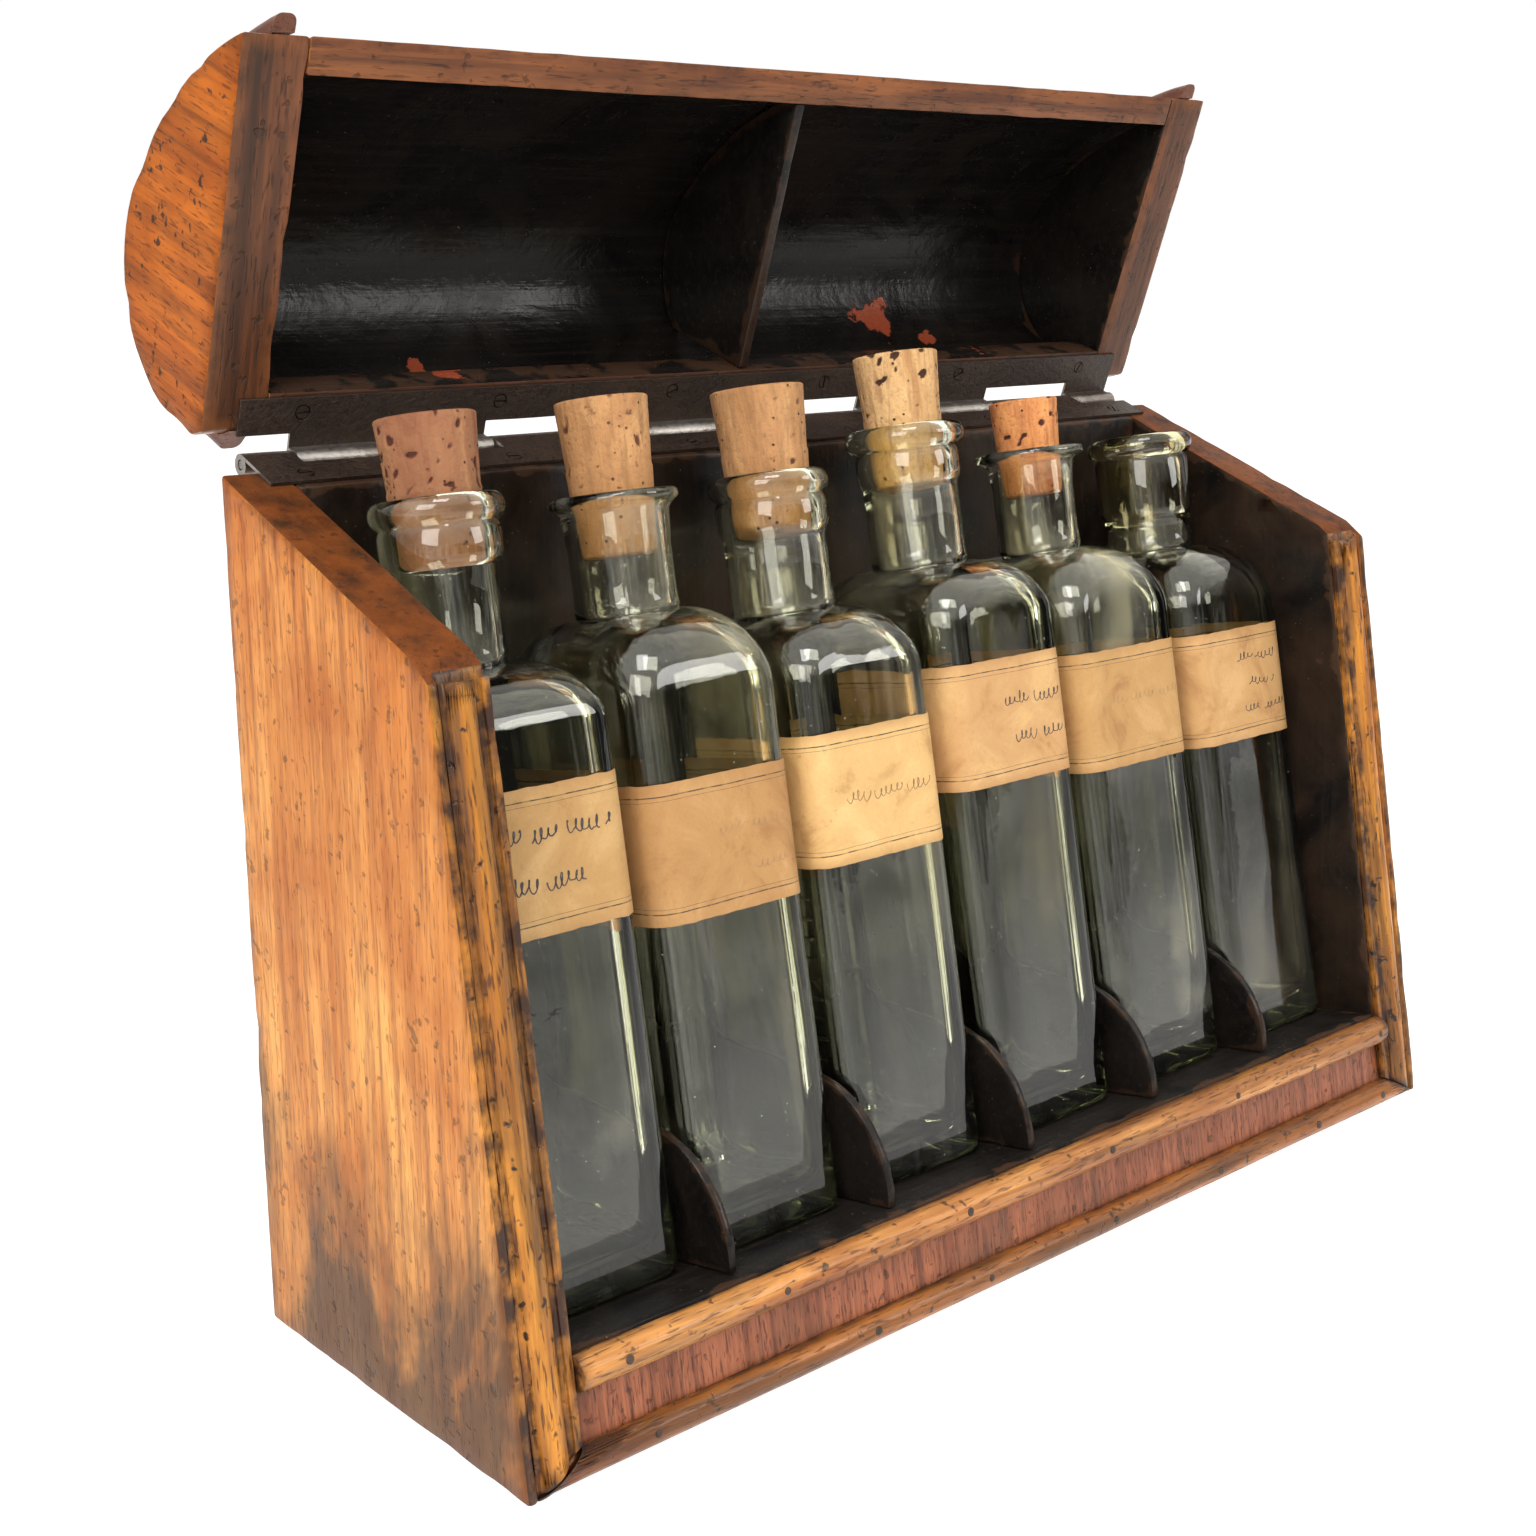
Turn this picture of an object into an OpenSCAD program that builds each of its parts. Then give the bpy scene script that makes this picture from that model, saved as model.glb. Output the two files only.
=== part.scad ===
// Apothecary's travelling case: a slant-fronted wooden case with a half-barrel lid,
// holding six corked square glass bottles that lean back in their own bays.
// Units are millimetres. +X runs along the case, -Y is the open front, +Z is up.
// The origin is the middle of the underside.

/* [Case] */
// Length of the case over both side boards
case_l = 300; // [250:1:420]
// Height of the case at its back edge
case_h = 188; // [155:1:240]
// Depth of the case at the base
case_d = 100; // [83:1:140]
// Depth of the case at the top of the front edges
top_d = 77; // [64:1:92]
// Slope of the slanted top, in degrees
slant = 22.6; // [15:0.1:30]
// Thickness of the side boards
side_t = 14; // [9:0.5:18]
// Thickness of the back board
back_t = 8; // [5:0.5:10]
// Thickness of the base board
base_t = 5; // [3:0.5:7]
// Length of the small flat worn on each front top corner
nose_l = 5; // [1:0.5:10]
// Drop of that flat
nose_drop = 2; // [0.5:0.1:4]

/* [Front rail and mouldings] */
// Height of the floor where it meets the front rail
floor_h = 24.5; // [20:0.5:34]
// Thickness of the sloping floor
floor_t = 4; // [2:0.5:6]
// Thickness of the front rail
rail_t = 6; // [4:0.5:10]
// Depth that the mouldings are let in behind the front edges
rebate = 2; // [1:0.1:4]
// Width of plain edge left outside the side mouldings
fillet_w = 2.6; // [1:0.1:4]
// Width of the round on the side mouldings
round_w = 7.6; // [5:0.1:9]
// How far the side round stands out of the front edge
round_out = 1.6; // [0.5:0.1:3]
// Width of the strip inside the side round
strip_w = 2.2; // [1:0.1:3]
// Height of the lower half-round
lower_w = 6.5; // [4:0.1:8]
// Height of the upper half-round
upper_w = 7.6; // [5:0.1:9]
// How far the upper half-round stands out of the front edge
upper_out = 2.7; // [1:0.1:4]
// Radius of the nail heads in the mouldings
nail_r = 0.9; // [0.5:0.1:1.5]
// How far a nail head stands out
nail_out = 0.3; // [0.1:0.1:0.8]
// Places of the nails along the upper half-round, from one end to the other
upper_nails = [0.04, 0.19, 0.39, 0.57, 0.75, 0.985];
// Places of the nails along the lower half-round
lower_nails = [0.06, 0.28, 0.41, 0.57, 0.72, 0.875, 0.985];

/* [Bays] */
// Number of bays in the case
bays = 6; // [6:1:6]
// Thickness of the dividers
divider_t = 2.5; // [1.5:0.1:4]
// Radius of the divider's rounded front
divider_r = 24.5; // [15:0.5:30]
// Distance from the front of the case to the dividers
divider_gap = 9; // [5:0.5:14]
// Backward lean of the bottles, and the fall of the floor, in degrees
lean = 9.5; // [5:0.5:12]

/* [Bottles] */
// Play of a bottle in its bay, each side
bottle_play = 1.6; // [0.8:0.1:4]
// Small sideways shift of each bottle in its bay
bottle_shift = [-1.2, -1.2, -1.2, -0.9, -1.2, -0.4];
// Room between the front of the case and the bottles' feet
foot_room = 18.4; // [14:0.1:24]
// Gap between each bottle's shoulder and the back board
lean_gap = [1.4, 0.9, 1.4, 0.9, 1.2, 0.9];
// Gap under a bottle
seat_gap = 0.3; // [0.2:0.1:0.5]
// Thickness of the glass wall
glass_t = 2.2; // [1.5:0.1:3]
// Thickness of the glass in the bottle's foot
foot_t = 6; // [3:0.5:9]
// Radius of the bottle's upright corners
corner_r = 5.5; // [4:0.5:8]
// Distance of each bottle's lip below the level of the case's back edge
lip_drop = [5.5, 8.5, 7, -1.5, 7.5, 6.5];
// Length of each neck, from the lip to the shoulder
neck_l = [36, 27, 33, 35, 27, 32];
// Height of each shoulder
shoulder_l = [13, 17, 15, 14, 17, 16];
// Kind of lip: 0 is a bead over a collar, 1 is a flare
lip_kind = [0, 1, 0, 0, 1, 0];
// Outer radius of each lip
lip_r = [14.5, 14.7, 14.5, 15, 14.4, 14.4];
// Depth of the collar under each beaded lip
collar_l = [14, 12, 14, 14, 10, 22];
// Glass round the neck bore
neck_t = 1.9; // [1.3:0.1:2.5]

/* [Corks] */
// Radius of each bottle's neck bore
bore_r = [10.2, 9.7, 10.4, 10, 8.7, 9.8];
// Clearance between a cork and the bore at the lip
cork_gap = 0.3; // [0.1:0.05:0.5]
// Height of each cork above the lip
cork_out = [17, 21, 20, 18, 13];
// Depth of each cork in the neck
cork_in = [15, 14, 13, 14, 12];
// Growth of the cork's radius with height
cork_taper = 0.065; // [0:0.005:0.08]

/* [Labels] */
// Height of the paper labels
label_h = 30; // [15:1:45]
// Thickness of the paper and its paste
label_t = 0.25; // [0.15:0.05:0.5]
// Height of each label's lower edge above the bottle's foot
label_z = [76, 71, 74.5, 84, 81, 80];
// Width of the gap that the label leaves up the back of the bottle
label_open = 12; // [5:1:25]

/* [Lid] */
// Thickness of the lid's end boards
end_t = 15; // [8:0.5:20]
// Width of the lid's two long rails
lid_rail_w = 8.1; // [6:0.1:12]
// Depth of the lid's two long rails
lid_rail_d = 9; // [6:0.5:12]
// Thickness of the curved lid
shell_t = 4.5; // [3:0.1:6]
// Radius of the lid's curve at the hinge side
dome_r = 31; // [28:0.5:36]
// How far the curve hangs over the hinge edge
dome_over = 2.5; // [0.5:0.1:4]
// Height of the centre of that curve above the rim
dome_rise = 12.5; // [8:0.5:18]
// Where the flatter front curve takes over, in degrees from the crown
dome_turn = 25; // [15:1:40]
// Thickness of the divider inside the lid
lid_div_t = 3; // [1.5:0.1:5]
// Distance of that divider from the middle
lid_div_x = -2.5; // [-15:0.5:15]
// Setback of that divider from the rim
lid_div_back = 0.6; // [0.2:0.1:4]
// Width of the half-round hoops over the lid
hoop_w = 5; // [3:0.5:8]
// Height of the hoops over the lid
hoop_h = 3.6; // [2:0.1:5]
// Distance of the hoops from the lid's ends
hoop_x = 6.5; // [2:0.5:9]

/* [Hinge] */
// Opening of the lid, in degrees
swing = 92.4; // [85:0.1:100]
// Distance of the hinge's axis behind the case
hinge_out = 6.5; // [5.5:0.1:8]
// Height of the hinge's axis above the case's back edge
hinge_up = 1; // [0.2:0.1:1.6]
// Distance of the hinge's ends from the ends of the case
hinge_end = 8; // [4:0.5:20]
// Thickness of the hinge leaves
leaf_t = 0.8; // [0.5:0.1:1.2]
// Width of the hinge leaves
leaf_w = 7.2; // [5:0.1:8]
// Gap between the closed leaves
leaf_gap = 0.3; // [0.3:0.05:1]
// Outer radius of the knuckles
knuckle_r = 2.4; // [2:0.1:3]
// Radius of the hinge pin
pin_r = 1.1; // [0.8:0.05:1.4]
// Running clearance round the pin
pin_gap = 0.05; // [0.02:0.01:0.1]
// Length of the case leaf's three full knuckles
knuckle_l = 33.6; // [20:0.1:40]
// Length of the case leaf's first knuckle
first_l = 12.3; // [6:0.1:20]
// Length of the lid leaf's last knuckle
last_l = 18.7; // [8:0.1:25]
// End gap between knuckles
knuckle_gap = 0.4; // [0.2:0.05:0.8]
// Radius of the screw heads
screw_r = 1.7; // [1.2:0.1:2]
// Number of screws in each leaf
screws = 6; // [4:1:9]

/* [Hidden] */
$fn = 64;

y_back = case_d / 2;                         // outer face of the back
y_front = -case_d / 2;                       // front edge at the base
y_top = y_back - top_d;                      // front edge at the top
front_h = case_h - top_d * tan(slant);       // where the slant meets the front edge
rake = atan((case_d - top_d) / front_h);     // lean of the front edges
inner_l = case_l - 2 * side_t;
front_len = front_h / cos(rake);             // length of a front edge
joint = 0.05;                                // hairline between pieces that meet

// Depth of the front edge's plane at a height
function front_y(z) = y_front + z * tan(rake);
// Height of the floor at a depth
floor_y = front_y(floor_h) + rebate / cos(rake);
function floor_z(y) = floor_h - (y - floor_y) * tan(lean);
y_in = y_back - back_t;                      // inner face of the back

// ---- bays and bottles
bay_w = (inner_l - (bays - 1) * divider_t) / bays;
function bay_x(i) = -inner_l / 2 + bay_w / 2 + i * (bay_w + divider_t);
bottle_w = bay_w - 2 * bottle_play;
lean_run = (case_h - floor_h - neck_l[1] - shoulder_l[1]) * sin(lean);
bottle_d = (case_d - back_t - foot_room - max(lean_gap) - lean_run) / cos(lean);
// Each bottle leans until its shoulder is lean_gap from the back, which places its foot
foot_fall = floor_h + floor_y * tan(lean) - bottle_d / 2 * sin(lean) + seat_gap * cos(lean);
function top_l(i) = lip_drop[i] + neck_l[i] + shoulder_l[i];
function foot_y(i) = pow(cos(lean), 2) * (y_in - lean_gap[i] - bottle_d * cos(lean)
    - seat_gap * sin(lean) - tan(lean) * (case_h - foot_fall) + sin(lean) * top_l(i));
function seat_y(i) = foot_y(i) + bottle_d / 2 * cos(lean) + seat_gap * sin(lean);
function seat_z(i) = floor_z(foot_y(i)) - bottle_d / 2 * sin(lean) + seat_gap * cos(lean);
function lip_z(i) = (case_h - seat_z(i)) / cos(lean) - lip_drop[i];
function neck_z(i) = lip_z(i) - neck_l[i];
function shoulder_z(i) = neck_z(i) - shoulder_l[i];
function neck_r(i) = bore_r[i] + neck_t;

// ---- lid
lid_gap = 2 * leaf_t + leaf_gap;             // rim to case top when the lid is shut
lid_len = top_d / cos(slant);
hinge_y = y_back + hinge_out;
hinge_z = case_h + hinge_up;
dome_u = dome_r - dome_over;
turn = [sin(dome_turn), cos(dome_turn)];
reach = [lid_len - dome_u, -dome_rise];
grow = (reach * reach - dome_r * dome_r) / (2 * (dome_r - reach * turn));
front_r = dome_r + grow;
front_u = dome_u - grow * turn[0];
front_v = dome_rise - grow * turn[1];
arc_steps = 16;

// Outline of the lid's section, set in by t, as [height above rim, distance from hinge edge]
function arc_end(t) = asin(-front_v / (front_r - t));
function lid_line(t) = let (a0 = arc_end(t), a1 = 90 - dome_turn) concat(
    [for (i = [0 : arc_steps]) let (a = a0 + (a1 - a0) * i / arc_steps)
        [front_v + (front_r - t) * sin(a), front_u + (front_r - t) * cos(a)]],
    [for (i = [1 : arc_steps]) let (a = a1 + (180 - a1) * i / arc_steps)
        [dome_rise + (dome_r - t) * sin(a), dome_u + (dome_r - t) * cos(a)]]);
function lid_outline(t) = concat(lid_line(t),
    [[dome_rise * 0.35, -dome_over + t], [0, max(t - dome_over, 0)]]);

// Places a piece drawn in the lid's own frame: y is height over the rim, z runs from
// the hinge edge to the free edge. It is shown open, resting on its stop.
module in_lid() {
    translate([0, hinge_y, hinge_z]) rotate([-swing, 0, 0]) translate([0, -hinge_y, -hinge_z])
        shut_frame() children();
}
module shut_frame() {
    translate([0, y_back - lid_gap * sin(slant), case_h + lid_gap * cos(slant)])
        rotate([90 + slant, 0, 0]) children();
}
// Extrudes a [y, z] outline along X from x0 to x1
module along_x(x0, x1) {
    translate([x0, 0, 0]) rotate([90, 0, 90]) linear_extrude(height = x1 - x0) children();
}
// Frame of the raked front: x along the case, y out of the front face is negative, z up it
module on_front() {
    translate([0, y_front, 0]) rotate([-rake, 0, 0]) children();
}
// A rod lying along X, cut flat on its back at the rebate
module half_round(x0, x1, z, w, out) {
    intersection() {
        translate([x0, -out + w / 2, z]) rotate([0, 90, 0]) cylinder(h = x1 - x0, r = w / 2);
        translate([x0 - 1, -out - 1, z - w]) cube([x1 - x0 + 2, out + 1 + rebate, 2 * w]);
    }
}

// ---- case woodwork
module side_board(x0, s) {
    mould_x = s > 0 ? x0 - 1 : x0 + fillet_w;
    difference() {
        along_x(x0, x0 + side_t)
            polygon([[y_front, 0], [y_back, 0], [y_back, case_h],
                [y_top + nose_l, front_h + nose_l * tan(slant)],
                [front_y(front_h - nose_drop), front_h - nose_drop]]);
        on_front() translate([mould_x, -20, -10])
            cube([side_t - fillet_w + 1, 20 + rebate, front_len + 30]);
    }
}
module left_side() color("#a5622b") side_board(-case_l / 2, -1);
module right_side() color("#a5622b") side_board(case_l / 2 - side_t, 1);

// The base is planed away wherever the underside of the floor comes down to it
module base_board() color("#4a2f1b") intersection() {
    translate([-inner_l / 2, front_y(0) + rebate + rail_t + 1, 0])
        cube([inner_l, y_in - front_y(0) - rebate - rail_t - 1, base_t]);
    along_x(-inner_l / 2 - 1, inner_l / 2 + 1)
        polygon([[y_front, -1], [y_in + 1, -1], [y_in, floor_z(y_in) - floor_t - joint],
            [floor_y - floor_t * tan(rake), floor_h - floor_t - joint],
            [y_front, floor_h - floor_t - joint]]);
}

module floor_board() color("#16110f")
    along_x(-inner_l / 2, inner_l / 2)
        polygon([[floor_y, floor_h], [y_in, floor_z(y_in)], [y_in, floor_z(y_in) - floor_t],
            [floor_y - floor_t * tan(rake), floor_h - floor_t]]);

module back_panel() color("#3b2416")
    along_x(-inner_l / 2, inner_l / 2)
        polygon([[y_in, 0], [y_back, 0], [y_back, case_h], [y_in, case_h - back_t * tan(slant)]]);

rail_y = front_y(0) + rebate / cos(rake);
rail_top = floor_h - floor_t - joint;
module front_rail() color("#7e3f22")
    along_x(-inner_l / 2, inner_l / 2)
        polygon([[rail_y, 0], [rail_y + rail_t, 0], [rail_y + rail_t, rail_top - rail_t * tan(lean)],
            [rail_y + rail_top * tan(rake), rail_top]]);

upper_z = floor_h / cos(rake) - upper_w / 2 - 0.2;
module upper_bead() color("#a3571f")
    on_front() half_round(-inner_l / 2, inner_l / 2, upper_z, upper_w, upper_out);

lower_out = round_out;
lower_rise = rebate * tan(rake) + 2 * joint;         // keeps the mouldings above the underside
lower_z = (lower_w / 2 + (lower_w / 2 - lower_out) * sin(rake)) / cos(rake) + joint;
mould_end = case_l / 2 - fillet_w;
mitre = [[-mould_end, 0], [-mould_end, lower_rise], [-inner_l / 2, lower_w + lower_rise],
    [inner_l / 2, lower_w + lower_rise], [mould_end, lower_rise], [mould_end, 0]];
module lower_bead() color("#a3571f")
    on_front() intersection() {
        half_round(-case_l / 2, case_l / 2, lower_z, lower_w, lower_out);
        translate([0, 15, 0]) rotate([90, 0, 0]) linear_extrude(height = 30) polygon(mitre);
    }

// Moulding let into a side board's front edge: a round between two quirks, and an inner strip
module side_bead(m) {
    x_out = mould_end;
    x_round = x_out - (side_t - fillet_w - strip_w) / 2;
    mirror([m, 0, 0]) on_front() intersection() {
        union() {
            translate([x_round, -round_out + round_w / 2, 0]) intersection() {
                cylinder(h = front_len + 20, r = round_w / 2);
                translate([-round_w, -round_w, 0])
                    cube([2 * round_w, round_w + rebate + round_out - round_w / 2, front_len + 20]);
            }
            translate([inner_l / 2, 0.9, 0])
                cube([x_out - inner_l / 2 - joint, rebate - 0.9, front_len + 20]);
            translate([inner_l / 2, 0.2, 0]) cube([strip_w, rebate - 0.2, front_len + 20]);
        }
        translate([0, 15, 0]) rotate([90, 0, 0]) linear_extrude(height = 30)
            polygon([[x_out, lower_rise + 2 * joint], [inner_l / 2, lower_w + lower_rise + 2 * joint],
                [inner_l / 2, front_len - nose_drop / cos(rake)],
                [x_out, front_len - nose_drop / cos(rake)]]);
    }
}
module left_bead() color("#a9661f") side_bead(1);
module right_bead() color("#a9661f") side_bead(0);

// Nail heads, each seated on the crown of its half-round
module nail_row(places, z, w, out) {
    for (p = places) let (x = -inner_l / 2 + inner_l * p)
        translate([x, 0, z]) difference() {
            translate([0, -out + w / 4, 0]) rotate([90, 0, 0]) cylinder(h = w / 4 + nail_out, r = nail_r);
            translate([-w, -out + w / 2, 0]) rotate([0, 90, 0]) cylinder(h = 2 * w, r = w / 2);
        }
}
module bead_nails() color("#3a2a1c") on_front() {
    nail_row(upper_nails, upper_z, upper_w, upper_out);
    nail_row(lower_nails, lower_z, lower_w, lower_out);
}

// Divider: stands on the floor, straight behind and a quarter round in front
module divider(i) color("#14100e") {
    x = bay_x(i) + bay_w / 2;
    yf = y_front + divider_gap;
    z0 = floor_z(yf);
    along_x(x, x + divider_t)
        polygon(concat([for (k = [0 : 18]) let (a = 180 - 5 * k)
                [yf + divider_r + divider_r * cos(a), z0 + divider_r * sin(a)]],
            [[y_in, z0 + divider_r], [y_in, floor_z(y_in)]]));
}
module divider_1() divider(0);
module divider_2() divider(1);
module divider_3() divider(2);
module divider_4() divider(3);
module divider_5() divider(4);

// ---- lid woodwork, in the lid's frame
lid_x = case_l / 2;
module rail_zone(z0, z1) {
    translate([-lid_x, -1, z0]) cube([2 * lid_x, lid_rail_d + 1, z1 - z0]);
}
module lid_end(x0) in_lid() along_x(x0, x0 + end_t) polygon(lid_outline(0));
module lid_left_end() color("#c06a22") lid_end(-lid_x);
module lid_right_end() color("#c06a22") lid_end(lid_x - end_t);
module lid_front_rail() color("#5a3018") in_lid() intersection() {
    along_x(-lid_x + end_t, lid_x - end_t) polygon(lid_outline(0));
    rail_zone(lid_len - lid_rail_w, lid_len + 5);
}
module lid_back_rail() color("#3a2014") in_lid() intersection() {
    along_x(-lid_x + end_t, lid_x - end_t) polygon(lid_outline(0));
    rail_zone(-dome_over - 5, lid_rail_w);
}
module lid_shell() color("#8a4a20") in_lid() difference() {
    along_x(-lid_x + end_t, lid_x - end_t) polygon(lid_outline(0));
    along_x(-lid_x + end_t - 1, lid_x - end_t + 1)
        polygon(concat([[-5, lid_len - lid_rail_w]], lid_line(shell_t),
            [[-5, -dome_over + shell_t]]));
    rail_zone(lid_len - lid_rail_w, lid_len + 5);
    rail_zone(-dome_over - 5, lid_rail_w);
}
module lid_divider() color("#120e0c") in_lid() intersection() {
    along_x(lid_div_x - lid_div_t / 2, lid_div_x + lid_div_t / 2)
        polygon(concat(lid_line(shell_t), [[-5, -dome_over + shell_t], [-5, lid_len - lid_rail_w]]));
    translate([-lid_x, lid_div_back, lid_rail_w])
        cube([2 * lid_x, dome_r * 3, lid_len - 2 * lid_rail_w]);
}
module lid_hoop(x0) in_lid() difference() {
    along_x(x0, x0 + hoop_w) polygon(lid_outline(-hoop_h));
    along_x(x0 - 1, x0 + hoop_w + 1) polygon(concat(lid_line(0),
        [[dome_rise * 0.35, -dome_over], [0, 0], [-5, 0], [-5, lid_len]]));
    translate([x0 - 1, -5, -20]) cube([hoop_w + 2, 5, lid_len + 60]);
    translate([x0 - 1, -5, -20]) cube([hoop_w + 2, 9, 20 - dome_over - hoop_h + 0.1]);
}
module lid_left_hoop() color("#33180f") lid_hoop(-lid_x + hoop_x);
module lid_right_hoop() color("#33180f") lid_hoop(lid_x - hoop_x - hoop_w);

// ---- hinge
hinge_x0 = -case_l / 2 + hinge_end;
hinge_x1 = case_l / 2 - hinge_end;
lid_knuckle = (hinge_x1 - hinge_x0 - first_l - last_l - 3 * knuckle_l) / 3;
function case_k0(i) = i == 0 ? hinge_x0 : hinge_x0 + first_l + i * lid_knuckle + (i - 1) * knuckle_l;
function case_k1(i) = i == 0 ? hinge_x0 + first_l : case_k0(i) + knuckle_l;
function screw_x(k, inset) = hinge_x0 + inset + (hinge_x1 - hinge_x0 - 2 * inset) * k / (screws - 1);
// hinge axis seen in the shut lid's frame: h_v above the rim, h_u from the hinge edge
axis_y = hinge_out + lid_gap * sin(slant);
axis_z = hinge_up - lid_gap * cos(slant);
h_v = -axis_y * sin(slant) + axis_z * cos(slant);
h_u = -axis_y * cos(slant) - axis_z * sin(slant);
arm_end = -1.2;

// One knuckle and the arm that joins it to its leaf, whose plate lies between v0 and v0 + leaf_t
module knuckle(x0, x1, v0) {
    arm_u0 = h_u;
    translate([x0, h_v, h_u]) rotate([0, 90, 0]) cylinder(h = x1 - x0, r = knuckle_r);
    difference() {
        translate([x0, min(v0, h_v), arm_u0])
            cube([x1 - x0, v0 + leaf_t - min(v0, h_v), arm_end - arm_u0 + 0.5]);
        // the arm is hollowed to a rolled plate
        translate([x0 - 1, v0 - 20, arm_u0 + knuckle_r - 0.4]) cube([x1 - x0 + 2, 20, 20]);
    }
}
module pin_hole() {
    translate([hinge_x0 - 1, h_v, h_u]) rotate([0, 90, 0])
        cylinder(h = hinge_x1 - hinge_x0 + 2, r = pin_r + pin_gap);
}
module screw_holes(inset, z) {
    for (k = [0 : screws - 1])
        translate([screw_x(k, inset), -10, z]) rotate([-90, 0, 0]) cylinder(h = 20, r = screw_r + joint);
}
screw_u = leaf_w / 2;
case_inset = 10;
lid_inset = 15;
module hinge_lid_leaf() color("#4a3a30") in_lid() difference() {
    union() {
        translate([hinge_x0, -leaf_t, arm_end]) cube([hinge_x1 - hinge_x0, leaf_t, leaf_w - arm_end]);
        for (i = [0 : 2])
            knuckle(case_k1(i) + knuckle_gap / 2, case_k0(i + 1) - knuckle_gap / 2, -leaf_t);
        knuckle(case_k1(3) + knuckle_gap / 2, hinge_x1, -leaf_t);
    }
    pin_hole();
    screw_holes(lid_inset, screw_u);
}
module lid_screws() color("#6a625a") in_lid()
    for (k = [0 : screws - 1])
        translate([screw_x(k, lid_inset), -leaf_t, screw_u]) rotate([-90, 0, 0])
            cylinder(h = leaf_t, r = screw_r);
module hinge_case_leaf() color("#3a2e28") shut_frame() difference() {
    union() {
        translate([hinge_x0, -lid_gap, arm_end]) cube([hinge_x1 - hinge_x0, leaf_t, leaf_w - arm_end]);
        for (i = [0 : 3])
            knuckle(case_k0(i) + (i == 0 ? 0 : knuckle_gap / 2), case_k1(i) - knuckle_gap / 2, -lid_gap);
    }
    pin_hole();
    screw_holes(case_inset, screw_u);
}
module case_screws() color("#6a625a") shut_frame()
    for (k = [0 : screws - 1])
        translate([screw_x(k, case_inset), -lid_gap, screw_u]) rotate([-90, 0, 0])
            cylinder(h = leaf_t, r = screw_r);
module hinge_pin() color("#8c877e") shut_frame()
    translate([hinge_x0 + 0.2, h_v, h_u]) rotate([0, 90, 0])
        cylinder(h = hinge_x1 - hinge_x0 - 0.4, r = pin_r);

// ---- bottles, drawn upright on their own base and leaned back in place
module at_bay(i) translate([bay_x(i) + bottle_shift[i], seat_y(i), seat_z(i)]) rotate([-lean, 0, 0])
    children();
// Section of a bottle: a rectangle with round corners, set in by t
module section(t) {
    w = bottle_w - 2 * t;
    d = bottle_d - 2 * t;
    r = max(corner_r - t, 0.8);
    square([w - 2 * r, d], center = true);
    square([w, d - 2 * r], center = true);
    for (x = [-1, 1], y = [-1, 1]) translate([x * (w / 2 - r), y * (d / 2 - r)]) circle(r = r);
}
// Upright outline of a bottle across one way: a small chamfer at the foot and a shoulder that
// curves in to the neck, where half is half the width and r the radius it curves in to
module outline(half, z0, sh, h, r, foot) {
    side = concat([[half - foot, z0], [half, z0 + foot]],
        [for (a = [0 : 15 : 90]) [r + (half - r) * cos(a), sh + h * sin(a)]]);
    polygon(concat(side, [for (k = [len(side) - 1 : -1 : 0]) [-side[k][0], side[k][1]]]));
}
// The bottle's body from z0 to the top of its shoulder, set in by t
module body(z0, sh, h, t, r, foot) intersection() {
    translate([0, 0, z0]) linear_extrude(height = sh + h - z0) section(t);
    translate([0, bottle_d, 0]) rotate([90, 0, 0]) linear_extrude(height = 2 * bottle_d)
        outline(bottle_w / 2 - t, z0, sh, h, r, foot);
    translate([-bottle_w, 0, 0]) rotate([90, 0, 90]) linear_extrude(height = 2 * bottle_w)
        outline(bottle_d / 2 - t, z0, sh, h, r, foot);
    union() {
        translate([0, 0, z0 - 1]) cylinder(h = sh - z0 + 1 + h * 0.25, r = bottle_d);
        translate([0, 0, sh + h * 0.2]) cylinder(h = h, r1 = bottle_d / 2 - t + 3, r2 = r + 0.6);
    }
}
module lip(i) {
    r = lip_r[i];
    nr = neck_r(i);
    z = lip_z(i);
    if (lip_kind[i] == 0) {
        // a round bead over a straight collar
        rotate_extrude() union() {
            translate([r - 2.4, z - 2.6]) circle(r = 2.4);
            translate([0, z - 5]) square([r - 2.4, 4.8]);
        }
        translate([0, 0, z - collar_l[i]]) cylinder(h = collar_l[i] - 2, r = nr + 1);
        translate([0, 0, z - collar_l[i] - 1.2]) cylinder(h = 1.3, r1 = nr - 0.2, r2 = nr + 1);
    } else {
        // a flare that opens to a thin rolled edge
        rotate_extrude() union() {
            translate([r - 1.4, z - 1.4]) circle(r = 1.4);
            polygon([[0, z], [r - 1.4, z], [r - 1.4, z - 2.8], [nr + 0.6, z - collar_l[i] + 3],
                [nr, z - collar_l[i]], [0, z - collar_l[i]]]);
        }
    }
}
module bottle(i) color("#cfdcc8", 0.45) at_bay(i) difference() {
    top = lip_z(i);
    sh = shoulder_z(i);
    union() {
        body(0, sh, shoulder_l[i], 0, neck_r(i) - 0.4, 1.6);
        translate([0, 0, sh]) cylinder(h = top - sh - 1, r = neck_r(i));
        lip(i);
    }
    body(foot_t, sh, shoulder_l[i] - glass_t, glass_t, bore_r[i] - 0.4, 1);
    translate([0, 0, sh]) cylinder(h = top - sh + 5, r = bore_r[i]);
}
module bottle_1() bottle(0);
module bottle_2() bottle(1);
module bottle_3() bottle(2);
module bottle_4() bottle(3);
module bottle_5() bottle(4);
module bottle_6() bottle(5);

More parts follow.
